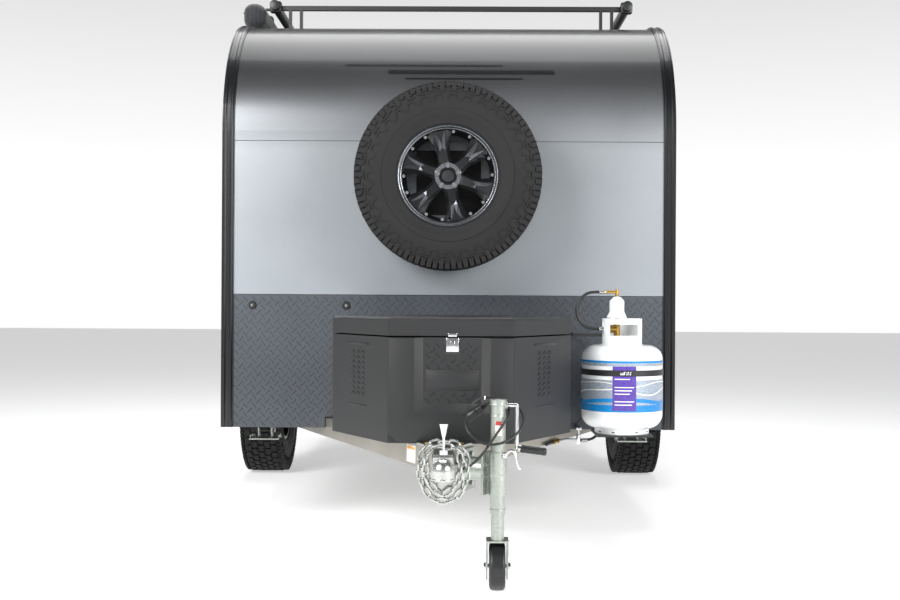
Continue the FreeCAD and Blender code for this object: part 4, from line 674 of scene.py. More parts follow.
def tyreMesh(width, seed):
    rng = random.Random(seed)

    def build(shape):
        latheInto(shape, tyreProfile(width), 96)
        half, top = width / 2, tyre["radius"]
        pitch = 2 * math.pi / tyre["blocks"]
        rowStep = width * 0.76 / tyre["rows"]
        for row in range(tyre["rows"]):
            x = (row - (tyre["rows"] - 1) / 2) * rowStep
            for k in range(tyre["blocks"]):
                angle = (k + 0.5 * (row % 2)) * pitch
                skew = math.radians(rng.choice((-14, -9, 9, 14)))
                long = top * pitch * rng.uniform(0.70, 0.80)
                blockInto(shape, x, rowStep * 0.80, angle, long, top - 0.012, top - 0.0004 * abs(row - 2), skew)
        for side in (-1, 1):
            for k in range(tyre["blocks"] * 2):
                angle = k * pitch / 2
                deep = 0.030 if k % 2 else 0.018
                blockInto(
                    shape, side * half * 0.905, half * 0.13, angle, top * pitch * 0.34, top - 0.008 - deep,
                    top - 0.004,
                )
            ribInto(shape, side * half * 0.955, zigzag(), 0.0036)
            for k in range(tyre["teeth"]):
                angle = 2 * math.pi * (k + 0.5) / tyre["teeth"]
                for low, long in ((0.316, 0.034), (0.328, 0.020)):
                    blockInto(shape, side * half * 0.935, 0.008, angle, long, low, low + 0.005)

    return build


def rimShell(shape):  # barrel with rolled lips
    latheInto(shape, [
        (-0.086, 0.191), (-0.086, 0.176), (-0.07, 0.170), (0.03, 0.160), (0.052, 0.163), (0.074, 0.172),
        (0.084, 0.176), (0.0875, 0.183), (0.086, 0.192), (0.078, 0.1915), (0.072, 0.184), (-0.07, 0.184),
        (-0.078, 0.191),
    ], 96)


def spokesInto(shape, count=6, first=12):
    stations = [
        (0.036, 0.032, 0.052), (0.060, 0.026, 0.056), (0.090, 0.025, 0.060), (0.125, 0.031, 0.064),
        (0.152, 0.042, 0.067), (0.172, 0.052, 0.070),
    ]
    for k in range(count):
        spin = Matrix.Rotation(math.radians(first + k * 360 / count), 4, "X")
        rings = []
        for radius, half, face in stations:
            section = [
                (-0.004, -half), (face - 0.012, -half), (face, -half * 0.55), (face, half * 0.55),
                (face - 0.012, half), (-0.004, half),
            ]
            rings.append([shape.verts.new(spin @ Vector((x + 0.012, y, radius))) for x, y in section])
        for a, b in zip(rings, rings[1:]):
            for i in range(6):
                j = (i + 1) % 6
                shape.faces.new((a[i], a[j], b[j], b[i]))
        shape.faces.new(list(reversed(rings[0])))
        shape.faces.new(rings[-1])


def facesInto(shape, count=6, first=12):  # faceted outer faces of the spokes
    stations = [(0.098, 0.0135, 0.074), (0.112, 0.0165, 0.079), (0.168, 0.0265, 0.0825), (0.1725, 0.0275, 0.081)]
    section = [(0.008, -1), (0.001, -0.8), (0.004, 0), (0.001, 0.8), (0.008, 1)]
    for k in range(count):
        spin = Matrix.Rotation(math.radians(first + k * 360 / count), 4, "X")
        rows = []
        for radius, half, rise in stations:
            rows.append(
                [shape.verts.new(spin @ Vector((rise - drop, half * share, radius))) for drop, share in section]
            )
        for a, b in zip(rows, rows[1:]):
            for i in range(4):
                shape.faces.new((a[i], a[i + 1], b[i + 1], b[i]))
            shape.faces.new((a[4], a[0], b[0], b[4]))
        shape.faces.new(rows[0])
        shape.faces.new(list(reversed(rows[-1])))


def hubInto(shape):
    latheInto(
        shape,
        [(0.0, 0.001), (0.0, 0.060), (0.050, 0.060), (0.064, 0.050), (0.066, 0.033), (0.060, 0.032), (0.058, 0.001)],
        48, closed=False,
    )


def lipInto(shape):
    latheInto(shape, [(0.0845, 0.1765), (0.0895, 0.183), (0.088, 0.1925), (0.0835, 0.188)], 96)


def hubRingInto(shape):
    latheInto(shape, [(0.0655, 0.052), (0.069, 0.050), (0.069, 0.035), (0.0655, 0.034)], 48)


def centreCapInto(shape):
    profile = [(0.056, 0.001), (0.056, 0.027), (0.064, 0.027), (0.070, 0.022), (0.072, 0.001)]
    latheInto(shape, profile, 40, closed=False)


def valveInto(shape):
    discInto(shape, (0.082, 0, -0.158), (1, 0, 0), 0.0042, 0.03, 12)


def addWheel(name, place, turn, width, body, tyreNode, rimNode, seed):
    where = Matrix.Translation(place) @ Matrix.Rotation(turn, 4, "Z")
    addPiece(name + "Tyre", meshOf(tyreMesh(width, seed), where), "tyre", body, True, (tyreNode,))
    addPiece(name + "Barrel", meshOf(rimShell, where), "wheel", body, True, (rimNode,))
    addPiece(name + "Spokes", meshOf(spokesInto, where), "wheel", body, False)
    addPiece(name + "SpokeFaces", meshOf(facesInto, where), "satin", body, False)
    addPiece(name + "Hub", meshOf(hubInto, where), "wheel", body)
    for index, radius in enumerate((0.1795, 0.1885)):
        rings = [
            (0.0895, -radius * math.sin(a), radius * math.cos(a)) for a in (2 * math.pi * k / 96 for k in range(96))
        ]
        mesh = tubeMesh([where @ Vector(v) for v in rings], 0.0013, closed=True, steps=1, smoothLine=False)
        addPiece(f"{name}LipLine{index}", mesh, "turned", body)
    addPiece(name + "Lip", meshOf(lipInto, where), "satin", body)
    addPiece(name + "HubRing", meshOf(hubRingInto, where), "turned", body)
    spots = []
    for k in range(6):
        for step in (-11, 11):
            a = math.radians(12 + 30 + k * 60 + step)
            spots.append(((0.086, -0.168 * math.sin(a), 0.168 * math.cos(a)), facing((1, 0, 0))))
    bolts = placed(hexBolt(0.0042, 0.004), spots, "bright")
    bolts.transform(where)
    addPiece(name + "LipBolts", bolts, "bright", body, False)
    spots = [
        ((0.066, -0.0425 * math.sin(a), 0.0425 * math.cos(a)), facing((1, 0, 0)))
        for a in (2 * math.pi * k / 5 for k in range(5))
    ]
    nuts = placed(hexBolt(0.0075, 0.012), spots, "bright")
    nuts.transform(where)
    addPiece(name + "LugNuts", nuts, "bright", body, False)
    addPiece(name + "CentreCap", meshOf(centreCapInto, where), "smooth", body)
    addPiece(name + "Valve", meshOf(valveInto, where), "smooth", body)


for side, sign in (("left", -1), ("right", 1)):
    low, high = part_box(f"tyre_{side}")
    place = [(a + b) / 2 for a, b in zip(low, high)]
    addWheel(
        f"{side}Wheel", place, 0 if sign > 0 else math.pi, high[0] - low[0], f"wheel_{side}", f"tyre_{side}",
        f"rim_{side}", 5 + sign,
    )
low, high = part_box("spare_tyre")
spareMiddle = [(a + b) / 2 for a, b in zip(low, high)]
addWheel("spareWheel", spareMiddle, -math.pi / 2, high[1] - low[1], "root", "spare_tyre", "spare_rim", 3)
print("wheels made")

# Safety chains: links along the two loops

chain = {"wire": 0.0044, "long": 0.043, "wide": 0.0275, "pitch": 0.030}


def linkMesh():
    half, out = chain["long"] / 2 - chain["wide"] / 2, chain["wide"] / 2 - chain["wire"]
    points = []
    for end in (1, -1):
        for k in range(5):
            a = math.pi * (k / 4 - 0.5)
            points.append((end * (half + out * math.cos(a)), end * out * math.sin(a), 0))
    return tubeMesh(points, chain["wire"], closed=True, steps=2, smoothLine=False)


def loopSpots(corners, y, first):
    count = len(corners)
    line = []
    for i in range(count):
        a, b, c, d = (Vector(corners[(i + k) % count]) for k in (-1, 0, 1, 2))
        for k in range(20):
            t = k / 20
            line.append(
                0.5 * (2 * b + (c - a) * t + (2 * a - 5 * b + 4 * c - d) * t**2 + (3 * b - a - 3 * c + d) * t**3)
            )
    total = sum((line[i] - line[i - 1]).length for i in range(len(line)))
    links = 2 * round(total / chain["pitch"] / 2)
    spots, gone, wanted = [], 0.0, 0.0
    for i in range(len(line)):
        nextOne = line[(i + 1) % len(line)]
        step = (nextOne - line[i]).length
        while wanted < gone + step and len(spots) < links:
            along = (wanted - gone) / step
            spot = line[i].lerp(nextOne, along)
            way = (nextOne - line[i]).normalized()
            tangent = Vector((way.x, 0, way.y))
            flat = Vector((0, 1, 0)) if (len(spots) + first) % 2 else tangent.cross(Vector((0, 1, 0)))
            lean = (flat + 0.45 * tangent.cross(flat)).normalized()
            basis = Matrix((tangent, lean.cross(tangent).normalized(), lean)).transposed()
            spots.append(((spot.x, y, spot.y), tuple(basis.to_euler())))
            wanted += total / links
        gone += step
    return spots


low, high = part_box("safety_chains")
outerLoop = [
    (-0.052, 0.478), (-0.070, 0.430), (-0.066, 0.372), (-0.038, 0.326), (0.002, 0.311), (0.042, 0.326),
    (0.068, 0.372), (0.073, 0.430), (0.054, 0.478), (0.002, 0.492),
]
innerLoop = [
    (-0.044, 0.470), (-0.052, 0.424), (-0.044, 0.376), (0.0, 0.336), (0.044, 0.376), (0.052, 0.424), (0.044, 0.470),
    (0.0, 0.482),
]
spots = loopSpots(outerLoop, high[1] - 0.009, 0) + loopSpots(innerLoop, low[1] + 0.006, 1)
addPiece("chainLinks", placed(linkMesh(), spots, "zinc"), "zinc", replaces=("safety_chains",))
print("chains linked:", len(spots))

# Front sheet: studs and plain stripes

front = {
    "stud": (-0.79, -0.41), "studZ": 0.905,
    "stripes": ((-0.43, 0.22, 1.893, 0.008), (-0.25, 0.43, 1.862, 0.018), (-0.18, 0.30, 1.832, 0.007)),
}


def stripBand(low, high, z, wide, lift=0.0012, steps=4):  # a thin band laid on the front skin
    def build(shape):
        rows = []
        for k in range(steps + 1):
            height = z - wide / 2 + wide * k / steps
            rows.append([shape.verts.new((x, noseY(height) - lift, height)) for x in (low, high)])
        for a, b in zip(rows, rows[1:]):
            shape.faces.new((a[0], a[1], b[1], b[0]))
        bmesh.ops.solidify(shape, geom=shape.faces[:], thickness=lift * 0.9)

    return meshOf(build)


for index, (low, high, z, wide) in enumerate(front["stripes"]):
    addPiece(f"frontStripe{index}", stripBand(low, high, z, wide), "smooth", smooth=False)
spots = [((x, frontY, front["studZ"]), facing((0, -1, 0))) for x in front["stud"]]


def washerInto(shape):
    discInto(shape, (0, 0, 0.004), (0, 0, 1), 0.017, 0.008, 32, 0.014)


addPiece("studWashers", placed(meshOf(washerInto), spots, "smooth"), "smooth")
addPiece("studScrews", placed(hexBolt(0.0065, 0.013), spots, "bright"), "bright", smooth=False)
print("front sheet detailed")

# Gas cylinder: printed sleeve, label, strap buckle, weld beads and drain slots in painted shade

tankLow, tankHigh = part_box("gas_cylinder")
tank = {
    "x": (tankLow[0] + tankHigh[0]) / 2, "y": (tankLow[1] + tankHigh[1]) / 2,
    "radius": (tankHigh[0] - tankLow[0]) / 2,
    "bands": ((0.522, 0.548, "blue"), (0.5485, 0.640, "silver"), (0.690, 0.7015, "silver"), (0.7020, 0.710, "blue")),
    "label": (0.609, 0.694, 0.528, 0.690),
}


def wrapMesh(low, high, start, stop, lift, steps):  # part of a sleeve round the cylinder, angles in degrees
    def build(shape):
        rows = []
        for k in range(steps + 1):
            a = math.radians(start + (stop - start) * k / steps)
            out = tank["radius"] + lift
            x, y = tank["x"] + out * math.cos(a), tank["y"] + out * math.sin(a)
            rows.append([shape.verts.new((x, y, z)) for z in (low, high)])
        for a, b in zip(rows, rows[1:]):
            shape.faces.new((a[0], b[0], b[1], a[1]))
        bmesh.ops.recalc_face_normals(shape, faces=shape.faces)
        bmesh.ops.solidify(shape, geom=shape.faces[:], thickness=-0.0003)

    return meshOf(build)


for index, (low, high, coat) in enumerate(tank["bands"]):
    addPiece(f"tankBand{index}", wrapMesh(low, high, 0, 360, 0.0006, 96), coat)


def waveBand(name, middle, swing, wide, coat, phase):  # a wavy stripe printed round the sleeve
    def build(shape):
        rows, steps = [], 144
        for k in range(steps):
            a = 2 * math.pi * k / steps
            z = middle + swing * math.sin(3 * a + phase) + 0.4 * swing * math.sin(5 * a + 2 * phase)
            out = tank["radius"] + 0.0011
            x, y = tank["x"] + out * math.cos(a), tank["y"] + out * math.sin(a)
            rows.append([shape.verts.new((x, y, z + d)) for d in (-wide / 2, wide / 2)])
        for a, b in zip(rows, rows[1:] + rows[:1]):
            shape.faces.new((a[0], b[0], b[1], a[1]))
        bmesh.ops.recalc_face_normals(shape, faces=shape.faces)
        bmesh.ops.solidify(shape, geom=shape.faces[:], thickness=-0.0003)

    addPiece(name, meshOf(build), coat)


waveBand("tankWaveLow", 0.562, 0.006, 0.014, "blue", 0.4)
waveBand("tankWaveMiddle", 0.598, 0.010, 0.004, "paper", 1.6)
waveBand("tankWaveHigh", 0.625, 0.007, 0.003, "paper", 2.8)
start, stop = (-math.degrees(math.acos((x - tank["x"]) / tank["radius"])) for x in tank["label"][:2])
addPiece(
    "tankLabel", wrapMesh(tank["label"][2], tank["label"][3], start, stop, 0.0017, 16), "violet"
)
for index, z in enumerate((0.668, 0.655, 0.642, 0.612, 0.600, 0.588, 0.560, 0.548)):
    mesh = wrapMesh(z, z + 0.0035, start + 3, stop - 3 - 3 * (index % 3), 0.0021, 12)
    addPiece(f"tankLabelLine{index}", mesh, "paper")
strap = {"across": -0.006, "middle": 0.665}


def buckleInto(shape):
    for x0, x1 in ((-0.022, -0.004), (0.000, 0.009), (0.012, 0.018)):
        boxInto(shape, (x0, -0.005, -0.006), (x1, 0.001, 0.006), 0.0015)
    discInto(shape, (0.0045, -0.006, 0), (0, 1, 0), 0.0035, 0.004, 16)


place = Matrix.Translation((tank["x"] + strap["across"], tank["y"] - tank["radius"] - 0.003, strap["middle"]))
addPiece("strapBuckle", meshOf(buckleInto, place), "bright")
for z, name in ((tankLow[2] + 0.0245, "footWeld"), (0.7665, "collarWeld")):
    radius = 0.103 if name == "footWeld" else 0.0765
    ring = [
        (tank["x"] + radius * math.cos(a), tank["y"] + radius * math.sin(a), z)
        for a in (2 * math.pi * k / 48 for k in range(48))
    ]
    addPiece(name, tubeMesh(ring, 0.0022, closed=True, steps=2), "enamel")


def slotShadeInto(shape):  # drain slots round the foot ring, drawn as dark boxes: painted shade standing for the openings
    for angle in (-150, -115, -65, -30):
        a = math.radians(angle)
        turn = Matrix.Rotation(a, 4, "Z")
        x, y = tank["x"] + 0.1014 * math.cos(a), tank["y"] + 0.1014 * math.sin(a)
        boxInto(shape, (x - 0.0012, y - 0.006, 0.4405), (x + 0.0012, y + 0.006, 0.4445), 0.0008, turn)


addPiece("footSlots", meshOf(slotShadeInto), "smooth")
print("gas cylinder detailed")

# Hose ends: crimped ferrules and hexagon nuts

ends = {
    "pigtailTop": ((0.601, -1.255, 0.964), (-1, 0, 0), 0.0078, 0.026, "zinc"),
    "pigtailLow": ((0.605, -1.255, 0.824), (-1, 0, 0), 0.0078, 0.030, "zinc"),
    "supplyLow": ((0.532, -1.056, 0.379), (1, 0, 0), 0.0078, 0.024, "zinc"),
    "supplyTop": ((0.608, -0.980, 0.620), (0, -1, 0), 0.0078, 0.022, "zinc"),
}


def ferruleMesh(place, way, radius, long):  # a sleeve with three crimped rings
    def build(shape):
        discInto(shape, (0, 0, long / 2), (0, 0, 1), radius, long, 24, soft=0.0015)
        for k in range(3):
            discInto(shape, (0, 0, long * (0.3 + 0.22 * k)), (0, 0, 1), radius + 0.0008, 0.0022, 24)

    turn = Vector((0, 0, 1)).rotation_difference(Vector(way)).to_matrix().to_4x4()
    return meshOf(build, Matrix.Translation(place) @ turn)


for name, (place, way, radius, long, coat) in ends.items():
    addPiece(name + "Ferrule", ferruleMesh(place, way, radius, long), coat)


gasLine = {"from": Vector((0.3808, -1.2195, 0.382)), "to": Vector((0.4375, -1.0995, 0.382))}


def lineFittings(shape):  # union nuts along the rigid gas line
    a, b = gasLine["from"], gasLine["to"]
    way = (b - a).normalized()
    for share, radius, long in ((0.62, 0.0095, 0.016), (0.76, 0.0085, 0.010), (0.92, 0.0095, 0.016)):
        discInto(shape, a.lerp(b, share), way, radius, long, 6)


addPiece("lineNuts", meshOf(lineFittings), "brass")


def lineJacket(shape):  # rubber jacket over the line's front half
    a, b = gasLine["from"], gasLine["to"]
    discInto(shape, a.lerp(b, 0.26), (b - a).normalized(), 0.0068, 0.070, 20)


addPiece("lineJacket", meshOf(lineJacket), "cord")


def lineBolts(shape):
    for x in (0.513, 0.527):
        discInto(shape, (x, -1.06, 0.424), (0, 0, 1), 0.0048, 0.010, 6)
    discInto(shape, (0.520, -1.056, 0.366), (0, 0, 1), 0.0105, 0.006, 6)
    boxInto(shape, (0.5165, -1.070, 0.384), (0.5235, -1.062, 0.402), 0.0015)


addPiece("lineBolts", meshOf(lineBolts), "bright", smooth=False)
print("gas fittings made")

# Tongue box: raised frame round the middle recess, embossing, blank nameplate, latch, side facets and lid

boxLow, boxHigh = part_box("tongue_box")
lidLow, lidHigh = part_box("box_lid")
boxFace = boxLow[1]
moulding = {
    "sides": (-0.188, 0.228), "foot": 0.456, "rim": boxHigh[2] - 0.002, "proud": 0.013,
    "recess": (-0.1035, 0.151, 0.553), "floor": (-0.071, 0.120, 0.587), "soft": 0.003,
    "plate": (-0.065, 0.114, 0.628, 0.697), "latch": (0.004, 0.046, 0.757),
    "facet": ((0.230, -1.788), (0.4526, -1.432)),
}


def frameInto(shape):
    (left, right), foot, rim = moulding["sides"], moulding["foot"], moulding["rim"]
    a, b, low = moulding["recess"]
    c, d, base = moulding["floor"]
    face, back = boxFace - moulding["proud"], boxFace + 0.001
    front = [
        (left, rim), (a, rim), (a, low), (b, low), (b, rim), (right, rim), (right, foot + 0.03), (right - 0.03, foot),
        (left + 0.03, foot), (left, foot + 0.03),
    ]
    rear = [(left, rim), (c, rim), (c, base), (d, base), (d, rim)] + front[5:]
    f = [shape.verts.new((x, face, z)) for x, z in front]
    r = [shape.verts.new((x, back, z)) for x, z in rear]
    count = len(front)
    for i in range(count):
        j = (i + 1) % count
        shape.faces.new((f[i], f[j], r[j], r[i]))
    for ring in (f, r):
        shape.faces.new([ring[i] for i in (0, 1, 2, 9)])
        shape.faces.new([ring[i] for i in (2, 3, 6, 7, 8, 9)])
        shape.faces.new([ring[i] for i in (3, 4, 5, 6)])
    bmesh.ops.recalc_face_normals(shape, faces=shape.faces)
    sharp = [
        e
        for e in shape.edges if len(e.link_faces) == 2 and e.calc_face_angle(0) > 0.3 and all(
            v.co.y < back - 0.002 for v in e.verts
        )
    ]
    bmesh.ops.bevel(shape, geom=sharp, offset=moulding["soft"], segments=2, affect="EDGES", profile=0.5)


addPiece("boxFrame", meshOf(frameInto), "moulded")


def embossSpots(x0, x1, z0, z1, y, step):
    spots = []
    for i in range(int((x1 - x0) / step) + 1):
        for j in range(int((z1 - z0) / step) + 1):
            if (i + j) % 2:
                continue
            lean = math.radians(45 if i % 2 else -45)
            turn = Matrix.Rotation(math.radians(90), 3, "X") @ Matrix.Rotation(lean, 3, "Z")
            spots.append(((x0 + i * step, y, z0 + j * step), tuple(turn.to_euler())))
    return spots


c, d, base = moulding["floor"]
p0, p1, q0, q1 = moulding["plate"]
spots = embossSpots(c + 0.012, d - 0.010, q1 + 0.012, boxHigh[2] - 0.010, boxFace, 0.0175)
spots = [
    s
    for s in spots if not (
        moulding["latch"][0] - 0.014 < s[0][0] < moulding["latch"][1] + 0.014 and s[0][2] > moulding["latch"][2] - 0.022
    )
]
spots += embossSpots(c + 0.012, d - 0.010, base + 0.010, q0 - 0.010, boxFace, 0.0175)
addPiece("boxEmbossing", placed(barMesh(), spots, "moulded", 0.9), "moulded", smooth=False)


def nameplateInto(shape):
    boxInto(shape, (p0, boxFace - 0.0025, q0), (p1, boxFace + 0.001, q1), 0.001)
    boxInto(shape, (p0 + 0.007, boxFace - 0.0045, q0 + 0.007), (p1 - 0.007, boxFace, q1 - 0.007), 0.0015)


addPiece("boxNameplate", meshOf(nameplateInto), "moulded")


def latchInto(shape):
    low, high, foot = moulding["latch"]
    top = boxHigh[2] - 0.001
    boxInto(shape, (low, boxFace - 0.006, foot), (high, boxFace - 0.0015, top), 0.0015)
    middle = (low + high) / 2
    boxInto(
        shape, (middle - 0.007, boxFace - 0.010, foot + 0.012), (middle + 0.007, boxFace - 0.005, top - 0.010), 0.002
    )
    discInto(shape, (middle, boxFace - 0.011, foot + 0.022), (0, 1, 0), 0.004, 0.004, 16)


def latchPocket(shape):
    low, high, foot = moulding["latch"]
    boxInto(
        shape, (low - 0.006, boxFace - 0.002, foot - 0.012), (high + 0.004, boxFace + 0.001, boxHigh[2] - 0.001),
        0.001,
    )


addPiece("latchPocket", meshOf(latchPocket), "smooth")
addPiece("boxLatch", meshOf(latchInto), "bright")


def strikeInto(shape):  # the latch's catch on the lid
    low, high, _ = moulding["latch"]
    boxInto(
        shape, (low + 0.006, lidLow[1] - 0.005, lidLow[2] + 0.001),
        (high - 0.006, lidLow[1] + 0.001, lidLow[2] + 0.012), 0.001
    )


addPiece("lidStrike", meshOf(strikeInto), "bright", "box_lid")


def facetPieces(shape, side):  # slot, chevrons and pocket on a slanted side
    (x0, y0), (x1, y1) = moulding["facet"]
    if side < 0:
        x0, x1 = 0.04 - x0, 0.04 - x1
    way = Vector((x1 - x0, y1 - y0, 0)).normalized()
    out = Vector((way.y, -way.x, 0)) * side
    middle = Vector(((x0 + x1) / 2, (y0 + y1) / 2, 0)) + way * 0.01
    turn = Matrix((way, out, Vector((0, 0, 1)))).transposed().to_4x4()
    for w, z0, z1, deep in ((0.155, 0.773, 0.782, 0.002), (0.130, 0.560, 0.566, 0.002)):
        boxInto(shape, middle + Vector((-w / 2, -deep, z0)), middle + Vector((w / 2, deep, z1)), 0.001, turn)
    for row in range(9):
        for column in (-0.036, 0.0, 0.036):
            for lean in (-1, 1):
                spot = middle + way * (column + lean * 0.007) + Vector((0, 0, 0.605 + row * 0.018))
                tilt = turn @ Matrix.Rotation(math.radians(40 * lean), 4, "Y")
                boxInto(
                    shape, spot - Vector((0.0085, 0.002, 0.002)), spot + Vector((0.0085, 0.002, 0.002)), 0.001, tilt,
                    1,
                )


for side in (-1, 1):
    addPiece(
        f"boxFacet{'LR'[side > 0]}", meshOf(lambda shape: facetPieces(shape, side)), "smooth"
    )


def lidRibs(shape):  # three shallow stiffening ribs along the lid
    for y in (-1.66, -1.56, -1.46):
        half = 0.20 + (y + 1.788) * 0.42
        boxInto(
            shape, (0.02 - half + 0.04, y - 0.012, lidHigh[2] - 0.002),
            (0.02 + half - 0.04, y + 0.012, lidHigh[2] + 0.0035), 0.003,
        )


addPiece("lidRibs", meshOf(lidRibs), "moulded", "box_lid")
print("tongue box moulded")

# Coupler, tongue labels and jack fittings

drawbar = {"angle": 25.3, "label": 0.80}
barOut = math.radians(drawbar["angle"])


def couplerBolts(shape):
    discInto(shape, (-0.034, -2.066, 0.372), (1, 0, 0), 0.009, 0.010, 6)
    discInto(shape, (-0.044, -2.066, 0.372), (1, 0, 0), 0.0055, 0.014, 16)
    discInto(shape, (0, -2.063, 0.3245), (0, 0, 1), 0.006, 0.014, 16)
    for x in (-0.055, 0.055):
        for y in (-1.93, -1.86):
            discInto(shape, (x, y, 0.4615), (0, 0, 1), 0.009, 0.007, 6)


addPiece("couplerBolts", meshOf(couplerBolts), "brass", smooth=False)


def couplerSeams(shape):  # pressed flanges down both sides of the neck and a rim at the mouth
    for side in (-1, 1):
        boxInto(shape, (side * 0.0315 - 0.0025, -2.10, 0.404), (side * 0.0315 + 0.0025, -1.958, 0.449), 0.001)
    discInto(shape, (0, -2.148, 0.3885), (0, 0, 1), 0.0395, 0.006, 48, soft=0.001)


addPiece("couplerSeams", meshOf(couplerSeams), "zinc")


def onDrawbar(side, ahead, z, out=0.0):  # a place on a drawbar's outer face, that far ahead of the front wall
    x = 0.490 - 0.4727 * ahead + out * math.cos(barOut)
    return (side * x, frontY - ahead - out * math.sin(barOut), z)


def labelInto(shape, side, ahead, low, high, wide, lift):
    turn = Matrix.Rotation(-side * barOut, 4, "Z")
    x, y, z = onDrawbar(side, ahead, 0)
    boxInto(shape, (x - lift, y - wide / 2, low), (x + lift, y + wide / 2, high), 0, turn)


addPiece(
    "barLabel", meshOf(lambda shape: labelInto(shape, -1, drawbar["label"], 0.386, 0.443, 0.075, 0.0008)), "paper",
    smooth=False,
)
addPiece(
    "barLabelBand", meshOf(lambda shape: labelInto(shape, -1, drawbar["label"], 0.430, 0.439, 0.066, 0.0014)),
    "yellow", smooth=False,
)

jack = {"x": 0.173, "y": -1.945, "top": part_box("jack_tube")[1][2]}


def jackBands(shape):  # rolled rings, the cap's rim and the crank's flat head
    for z, radius in ((0.262, 0.0255), (0.560, 0.0252), (jack["top"] - 0.015, 0.0285)):
        discInto(shape, (jack["x"], jack["y"], z), (0, 0, 1), radius, 0.006, 40, soft=0.001)
    discInto(shape, (jack["x"], jack["y"], jack["top"] + 0.0008), (0, 0, 1), 0.010, 0.0016, 24)


addPiece("jackBands", meshOf(jackBands), "galvanised")
grip = {"from": Vector((0.236, -1.945, 0.4575)), "droop": math.radians(7)}
gripWay = Vector((math.cos(grip["droop"]), 0, -math.sin(grip["droop"])))


def gripInto(shape):
    discInto(shape, grip["from"] + gripWay * 0.050, gripWay, 0.0122, 0.086, 24, soft=0.003)
    for k in range(5):
        discInto(shape, grip["from"] + gripWay * (0.018 + 0.016 * k), gripWay, 0.0128, 0.004, 24)


addPiece("crankGrip", meshOf(gripInto), "smooth")
pull = [
    (0.196, -1.975, 0.438), (0.205, -1.982, 0.452), (0.216, -1.984, 0.456), (0.226, -1.985, 0.448),
    (0.231, -1.985, 0.430), (0.236, -1.985, 0.405), (0.240, -1.985, 0.396),
]
addPiece("pullPin", tubeMesh(pull, 0.0042), "bright")


def pinBoss(shape):
    discInto(shape, (0.190, -1.968, 0.436), (0.6, -0.8, 0), 0.008, 0.018, 20, soft=0.001)


addPiece("pinBoss", meshOf(pinBoss), "bright")


def bracketBolts(shape):
    for along, z in ((0.085, 0.330), (0.085, 0.425), (0.02, 0.330), (0.02, 0.425)):
        spot = Vector(onDrawbar(1, 0.990 - 0.04 - along, z, 0.0115))
        discInto(shape, spot, (math.cos(barOut), -math.sin(barOut), 0), 0.0085, 0.008, 6)


addPiece("bracketBolts", meshOf(bracketBolts), "zinc", smooth=False)


def rosetteInto(shape):  # washers at the four holes of the dark indexing plate
    out = Vector((math.cos(barOut), -math.sin(barOut), 0))
    along = Vector((math.sin(barOut), math.cos(barOut), 0))
    centre = Vector((jack["x"], jack["y"], 0.387)) - out * 0.038 - along * 0.022
    for k in range(4):
        a = math.pi / 4 + k * math.pi / 2
        spot = centre + along * 0.012 * math.cos(a) + Vector((0, 0, 0.027 * math.sin(a)))
        discInto(shape, spot, along, 0.0062, 0.006, 20)


addPiece("bracketRosette", meshOf(rosetteInto), "bright")
stickers = {
    "jackSticker": ((-0.010, 0.012), (0.0252, 0.0238), (0.500, 0.532), "paper"),
    "jackStickerBand": ((-0.008, 0.010), (0.0258, 0.0240), (0.534, 0.545), "red"),
}


def stickerMesh(across, ahead, up):
    def build(shape):
        low = (jack["x"] + across[0], jack["y"] - ahead[0], up[0])
        boxInto(shape, low, (jack["x"] + across[1], jack["y"] - ahead[1], up[1]))

    return meshOf(build)


for name, (across, ahead, up, coat) in stickers.items():
    addPiece(name, stickerMesh(across, ahead, up), coat, smooth=False)


def casterInto(shape):  # rubber rings on both faces of the caster wheel
    latheInto(shape, [(-0.0255, 0.066), (-0.0255, 0.050), (-0.0235, 0.048), (-0.0235, 0.067)], 48)
    latheInto(shape, [(0.0255, 0.066), (0.0255, 0.050), (0.0235, 0.048), (0.0235, 0.067)], 48)


wheelMiddle = [(a + b) / 2 for a, b in zip(*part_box("caster_wheel"))]
addPiece("casterRings", meshOf(casterInto, Matrix.Translation(wheelMiddle)), "tyre", "caster_wheel")


def casterNuts(shape):
    for side in (-1, 1):
        discInto(shape, (wheelMiddle[0] + side * 0.0395, wheelMiddle[1], wheelMiddle[2]), (1, 0, 0), 0.0105, 0.008, 6)


addPiece("casterNuts", meshOf(casterNuts), "bright", "caster_fork", False)


def plugInto(shape):  # seven-way plug: ribbed grip and a keyed barrel
    discInto(shape, (0, 0, 0.058), (0, 0, 1), 0.0172, 0.036, 36, soft=0.0015)
    for k in range(4):
        discInto(shape, (0, 0, 0.008 + 0.006 * k), (0, 0, 1), 0.0085 + 0.0024 * k, 0.003, 28)
    boxInto(shape, (-0.004, 0.0165, 0.040), (0.004, 0.0190, 0.080), 0.001)


plugTurn = Vector((0, 0, 1)).rotation_difference(Vector((-0.83, 0, -0.56))).to_matrix().to_4x4()
addPiece(
    "plugRibs", meshOf(plugInto, Matrix.Translation(cords["wiring"]["route"][-1]) @ plugTurn), "smooth",
)
tiePlace = Matrix.Translation((0.131, -1.9055, 0.6145)) @ Matrix.Rotation(0.1, 4, "Y")


def tieInto(shape):  # a cable tie round the cord
    latheInto(shape, [(-0.002, 0.0046), (0.002, 0.0046), (0.002, 0.0062), (-0.002, 0.0062)], 24)


addPiece("cordTie", meshOf(tieInto, tiePlace), "paper")
print("tongue fittings made")

# Doors: seals, window frames, hinges, handles and locks

door = {"bead": 0.0055, "frame": 0.011, "hinges": (0.78, 1.19, 1.60), "hingeLong": 0.076}


